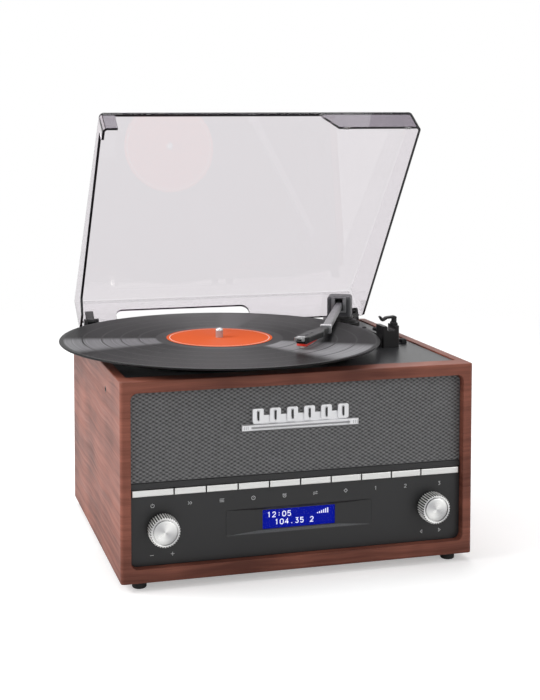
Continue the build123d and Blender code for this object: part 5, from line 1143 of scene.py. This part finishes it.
@dataclass
class RadioPanel(Assembly):
    """The charcoal fascia with its keys, knobs, display and printed marks."""

    dressing = {
        "fascia": FASCIA_ABS,
        "lcd_lens": CLEAR_WINDOW,
        "lcd_module": LCD_BLUE,
        "encoders": BLACK_ABS,
        "control_board": GREEN_BOARD,
        **{name: KEY_METAL for name in NODES if name.startswith("button_")},
    }
    knob_flutes: int = 36
    flute_mm: float = 1.2
    faces_per_flute: int = 6
    # the knob starts this far in front of the fascia
    knob_gap_mm: float = 1.2
    # each ring of the knob: share of its radius, mm outside that, share of its length, mm beyond that
    knob_rings: tuple[Row, ...] = (
        (0.2, 0.0, 0, 0.0),
        (1.0, -1.4, 0, 0.0),
        (1.0, -0.2, 0, 0.5),
        (1.0, 0.0, 0, 1.4),
        (1.0, -0.1, 1, -1.0),
        (1.0, -0.25, 1, -0.35),
        (1.0, -0.6, 1, -0.05),
        (1.0, -1.3, 1, 0.0),
        (0.775, 0.6, 1, 0.0),
        (0.775, 0.48, 1, -0.1),
        (0.775, 0.42, 1, -1.0),
        (0.775, -0.42, 1, -1.0),
        (0.775, -0.48, 1, -0.12),
        (0.775, -0.6, 1, -0.02),
        (0.5, 0.0, 1, -0.14),
        (0.2, 0.0, 1, -0.2),
        (0.0, 0.0, 1, -0.22),
    )
    side_lean: float = 0.6
    scoop_half_mm: Point = (66.6, 11.1)
    scoop_lip_mm: float = 0.25
    scoop_gap_mm: float = 0.5
    print_proud_mm: float = 0.04
    stroke_mm: float = 0.42
    below_key_mm: float = 11.4
    below_knob_mm: float = 23.0
    mark_spread_mm: float = 9.0
    display_proud_mm: float = 0.1
    display: Lettering = Lettering(1.45, 4.6, 0.72)
    # each row with the middle of its first figure and its height
    display_rows: tuple[tuple[str, float, float], ...] = (("12:05", -27.0, 3.4), ("104.35 2", -20.0, -3.4))
    # where each level bar stands and ends; all have the same foot and width
    bars_mm: Line = ((17.5, 2.2), (19.4, 2.9), (21.3, 3.6), (23.2, 4.3), (25.1, 5.0), (27.0, 5.7))
    bars_foot_mm: float = 1.2
    bars_width_mm: float = 0.9

    def trim(self) -> None:
        """Turns the knobs, shapes the trough, prints the marks and lights the display."""
        for name, body in (("volume_knob", "volume"), ("tune_knob", "tuning")):
            self.turn_knob(name, body)
        self.shape_scoop()
        self.print_marks()
        self.light_display()

    def face(self) -> float:
        """The depth of the fascia's front face, which is level with the grille's."""
        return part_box("grille")[0].y

    def turn_knob(self, node: str, body: str) -> None:
        """A spun knob: fluted side, a groove and a slightly dished face.

        Args:
            node: The solid that it stands for.
            body: The body that it turns with.
        """
        low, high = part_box(node)
        radius = (high.x - low.x) / 2 / MM
        length = (self.face() - low.y) / MM - self.knob_gap_mm
        profile = [(a * radius + out, b * length + on) for a, out, b, on in self.knob_rings]
        shape = bmesh.new()
        sheet = facing((low, high), low.y + length * MM)
        steps = self.faces_per_flute * self.knob_flutes
        lathe(shape, sheet, profile, steps, self.knob_flutes, self.flute_mm)
        made = self.piece(f"{node}_spun", shape, body, KNOB_METAL, "knob_aluminium", smooth_deg=50.0)
        made.data.materials.append(KNOB_SIDE.material())
        for face in made.data.polygons:
            face.material_index = int(abs(face.normal.y) < self.side_lean)
        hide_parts(node)

    def shape_scoop(self) -> None:
        """The shallow trough round the display, whose floor rises to the panel at both ends."""
        shape = bmesh.new()
        low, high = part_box("lcd_lens")
        sheet = facing((low, high), self.face())
        reach = [side / 2 / MM + self.scoop_gap_mm for side in (high.x - low.x, high.z - low.z)]
        rims = (*self.scoop_half_mm, self.scoop_lip_mm), (*reach, (low.y - self.face()) / MM)
        corners = ((-1, -1), (1, -1), (1, 1), (-1, 1))
        outer, inner = [
            [shape.verts.new(sheet.at(a * x, b * z, -deep)) for a, b in corners] for x, z, deep in rims
        ]
        for i in range(len(corners)):
            shape.faces.new((outer[i], outer[i - 3], inner[i - 3], inner[i]))
        scoop = self.piece("display_scoop", shape, "cabinet", FASCIA_ABS, "fascia_abs")
        # the lower faces take the lighter copy, a painted highlight
        scoop.data.materials.append(TROUGH_ABS.material())
        for face in scoop.data.polygons:
            face.material_index = int(face.center.z < sheet.origin.z - MM)

    def print_marks(self) -> None:
        """Prints a figure or a pictogram under each key and beside each knob."""
        shape = bmesh.new()
        depth = self.face() - self.print_proud_mm * MM
        under = {figure: FIGURES[figure] for figure in ("1", "2", "3")}
        for mark in (Mark.POWER, Mark.SCAN, Mark.MENU, Mark.INFO, Mark.ALARM, Mark.MODE, Mark.PRESET):
            under[mark.name.lower()] = mark.value
        drawings = [
            (facing(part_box(f"button_{key}"), depth).moved(0, -self.below_key_mm), lines)
            for key, lines in under.items()
        ]
        for knob, *marks in (("volume_knob", Mark.QUIETER, Mark.LOUDER), ("tune_knob", Mark.DOWN, Mark.UP)):
            for side, mark in zip((-1, 1), marks):
                sheet = facing(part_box(knob), depth).moved(side * self.mark_spread_mm, -self.below_knob_mm)
                drawings.append((sheet, mark.value))
        for sheet, lines in drawings:
            for line in lines:
                ribbon(shape, sheet, line, self.stroke_mm)
        self.piece("fascia_marks", shape, "cabinet", PRINT, "badge_chrome")

    def light_display(self) -> None:
        """Lights plain figures and a level bar on the display."""
        shape = bmesh.new()
        sheet = facing(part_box("lcd_lens"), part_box("lcd_module")[0].y - self.display_proud_mm * MM)
        for row, start, height in self.display_rows:
            self.display.write(shape, sheet, row, start, height)
        for across, top in self.bars_mm:
            ribbon(shape, sheet, [(across, self.bars_foot_mm), (across, top)], self.bars_width_mm)
        self.piece("display_figures", shape, "cabinet", LCD_WHITE, "lcd_glass")


class Electronics(Assembly):
    """The two boards on the floor of the case."""

    dressing = {"main_board": GREEN_BOARD, "power_supply": GREEN_BOARD}


# ---- studio


@dataclass(frozen=True)
class Softbox:
    """A square soft light that faces the object."""

    name: str
    place: Row
    size: float
    watts: float

    def light(self, centre: Vector) -> None:
        """Hangs the light and turns it to the object.

        Args:
            centre: The middle of the object.
        """
        data = bpy.data.lights.new(self.name, "AREA")
        data.size = self.size
        data.energy = self.watts
        lamp = bpy.data.objects.new(self.name, data)
        lamp.location = centre + Vector(self.place)
        lamp.rotation_euler = (centre - lamp.location).to_track_quat("-Z", "Y").to_euler()
        bpy.context.scene.collection.objects.link(lamp)


@dataclass
class Studio:
    """A pale floor, white surroundings, soft lights and the camera."""

    surround: float = 0.31
    floor_size: float = 3.2
    floor_sides: int = 96
    # just below the feet, so that the two faces don't flicker
    floor_height: float = -0.0002
    floor_card: str = "#f2f2f2"
    floor_lift: float = 0.38
    # where the floor starts to fade and where it is gone, as shares of its size
    floor_fade: Point = (0.25, 0.48)
    lens_mm: float = 64.8
    sensor_mm: float = 36.0
    shift: Point = (0.1, -0.225)
    camera_mm: Row = (-188.9, -1018.3, 391.9)
    turn_rad: float = 0.2483
    dip_rad: float = 0.06
    roll_rad: float = 0.0026
    boxes: tuple[Softbox, ...] = (
        Softbox("key_softbox", (-1.7, 0.05, 0.9), 1.2, 33.0),
        Softbox("front_softbox", (1.3, -1.5, 0.9), 1.2, 9.5),
        Softbox("top_softbox", (0.1, 0.4, 1.7), 1.2, 16.0),
    )

    def build(self) -> None:
        """Builds floor, surroundings, lights and camera."""
        self.lay_floor()
        self.surround_white()
        for box in self.boxes:
            box.light(middle(CAD_BOX))
        self.place_camera()
        bpy.context.scene.view_settings.view_transform = "Standard"

    def lay_floor(self) -> None:
        """Lays the pale floor, which fades into the white surroundings at its rim."""
        shape = bmesh.new()
        bmesh.ops.create_circle(shape, cap_ends=True, radius=self.floor_size / 2, segments=self.floor_sides)
        mesh = bpy.data.meshes.new("floor")
        shape.to_mesh(mesh)
        shape.free()
        floor = bpy.data.objects.new("floor", mesh)
        floor.location.z = self.floor_height
        bpy.context.scene.collection.objects.link(floor)
        mesh.materials.append(self.floor_finish())

    def floor_finish(self) -> bpy.types.Material:
        """White seamless card: matt, and lifted for the camera so that it meets the white beyond.

        Returns:
            The material.
        """
        material = bpy.data.materials.new("white_seamless_card")
        material.use_nodes = True
        tree = material.node_tree
        tree.nodes.remove(tree.nodes["Principled BSDF"])
        graph = Graph(tree, tree.nodes["Material Output"])
        seen = graph.add("LightPath").outputs["Is Camera Ray"]
        strength = graph.calc("MULTIPLY", seen, self.floor_lift)
        card = graph.add("BsdfDiffuse", {"Color": linear(self.floor_card)})
        lift = graph.add("Emission", {"Color": linear("#ffffff"), "Strength": strength})
        both = graph.add("AddShader", {0: card.outputs[0], 1: lift.outputs[0]})
        reach = graph.vector("LENGTH", graph.add("TexCoord").outputs["Object"])
        start, end = [share * self.floor_size for share in self.floor_fade]
        fade = graph.ramp(reach, start, end, curve="SMOOTHSTEP")
        gone = graph.add("BsdfTransparent")
        mixed = graph.add("MixShader", {0: fade, 1: both.outputs[0], 2: gone.outputs[0]})
        graph.feed({"Surface": mixed.outputs[0]})
        return material

    def surround_white(self) -> None:
        """Surrounds the object with even light that camera, metal and glass see as white."""
        world = bpy.data.worlds.new("studio")
        bpy.context.scene.world = world
        world.use_nodes = True
        graph = Graph(world.node_tree, world.node_tree.nodes["Background"])
        path = graph.add("LightPath").outputs
        seen = graph.calc("MAXIMUM", path["Is Camera Ray"], path["Is Glossy Ray"])
        seen = graph.calc("MAXIMUM", seen, path["Is Transmission Ray"])
        strength = graph.calc("MULTIPLY_ADD", seen, 1.0 - self.surround, self.surround)
        graph.feed({"Color": linear("#ffffff"), "Strength": strength})

    def place_camera(self) -> None:
        """Places the camera from the front lower left corner of the wooden case."""
        data = bpy.data.cameras.new("camera")
        data.sensor_width = self.sensor_mm
        data.lens = self.lens_mm
        data.shift_x, data.shift_y = self.shift
        camera = bpy.data.objects.new("camera", data)
        camera.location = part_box("wooden_case")[0] + Vector(self.camera_mm) * MM
        camera.rotation_euler = (math.pi / 2 - self.dip_rad, self.roll_rad, -self.turn_rad)
        bpy.context.scene.collection.objects.link(camera)
        bpy.context.scene.camera = camera


def main() -> None:
    """Builds every sub-assembly in order, then the studio."""
    logging.basicConfig(level=logging.INFO, format="%(name)s %(message)s")
    groups = (Cabinet, Deck, Turntable, Tonearm, ArmRest, DustCover, SpeakerFront, RadioPanel, Electronics)
    for group in groups:
        group().build()
    Studio().build()


if __name__ == "__main__":
    main()
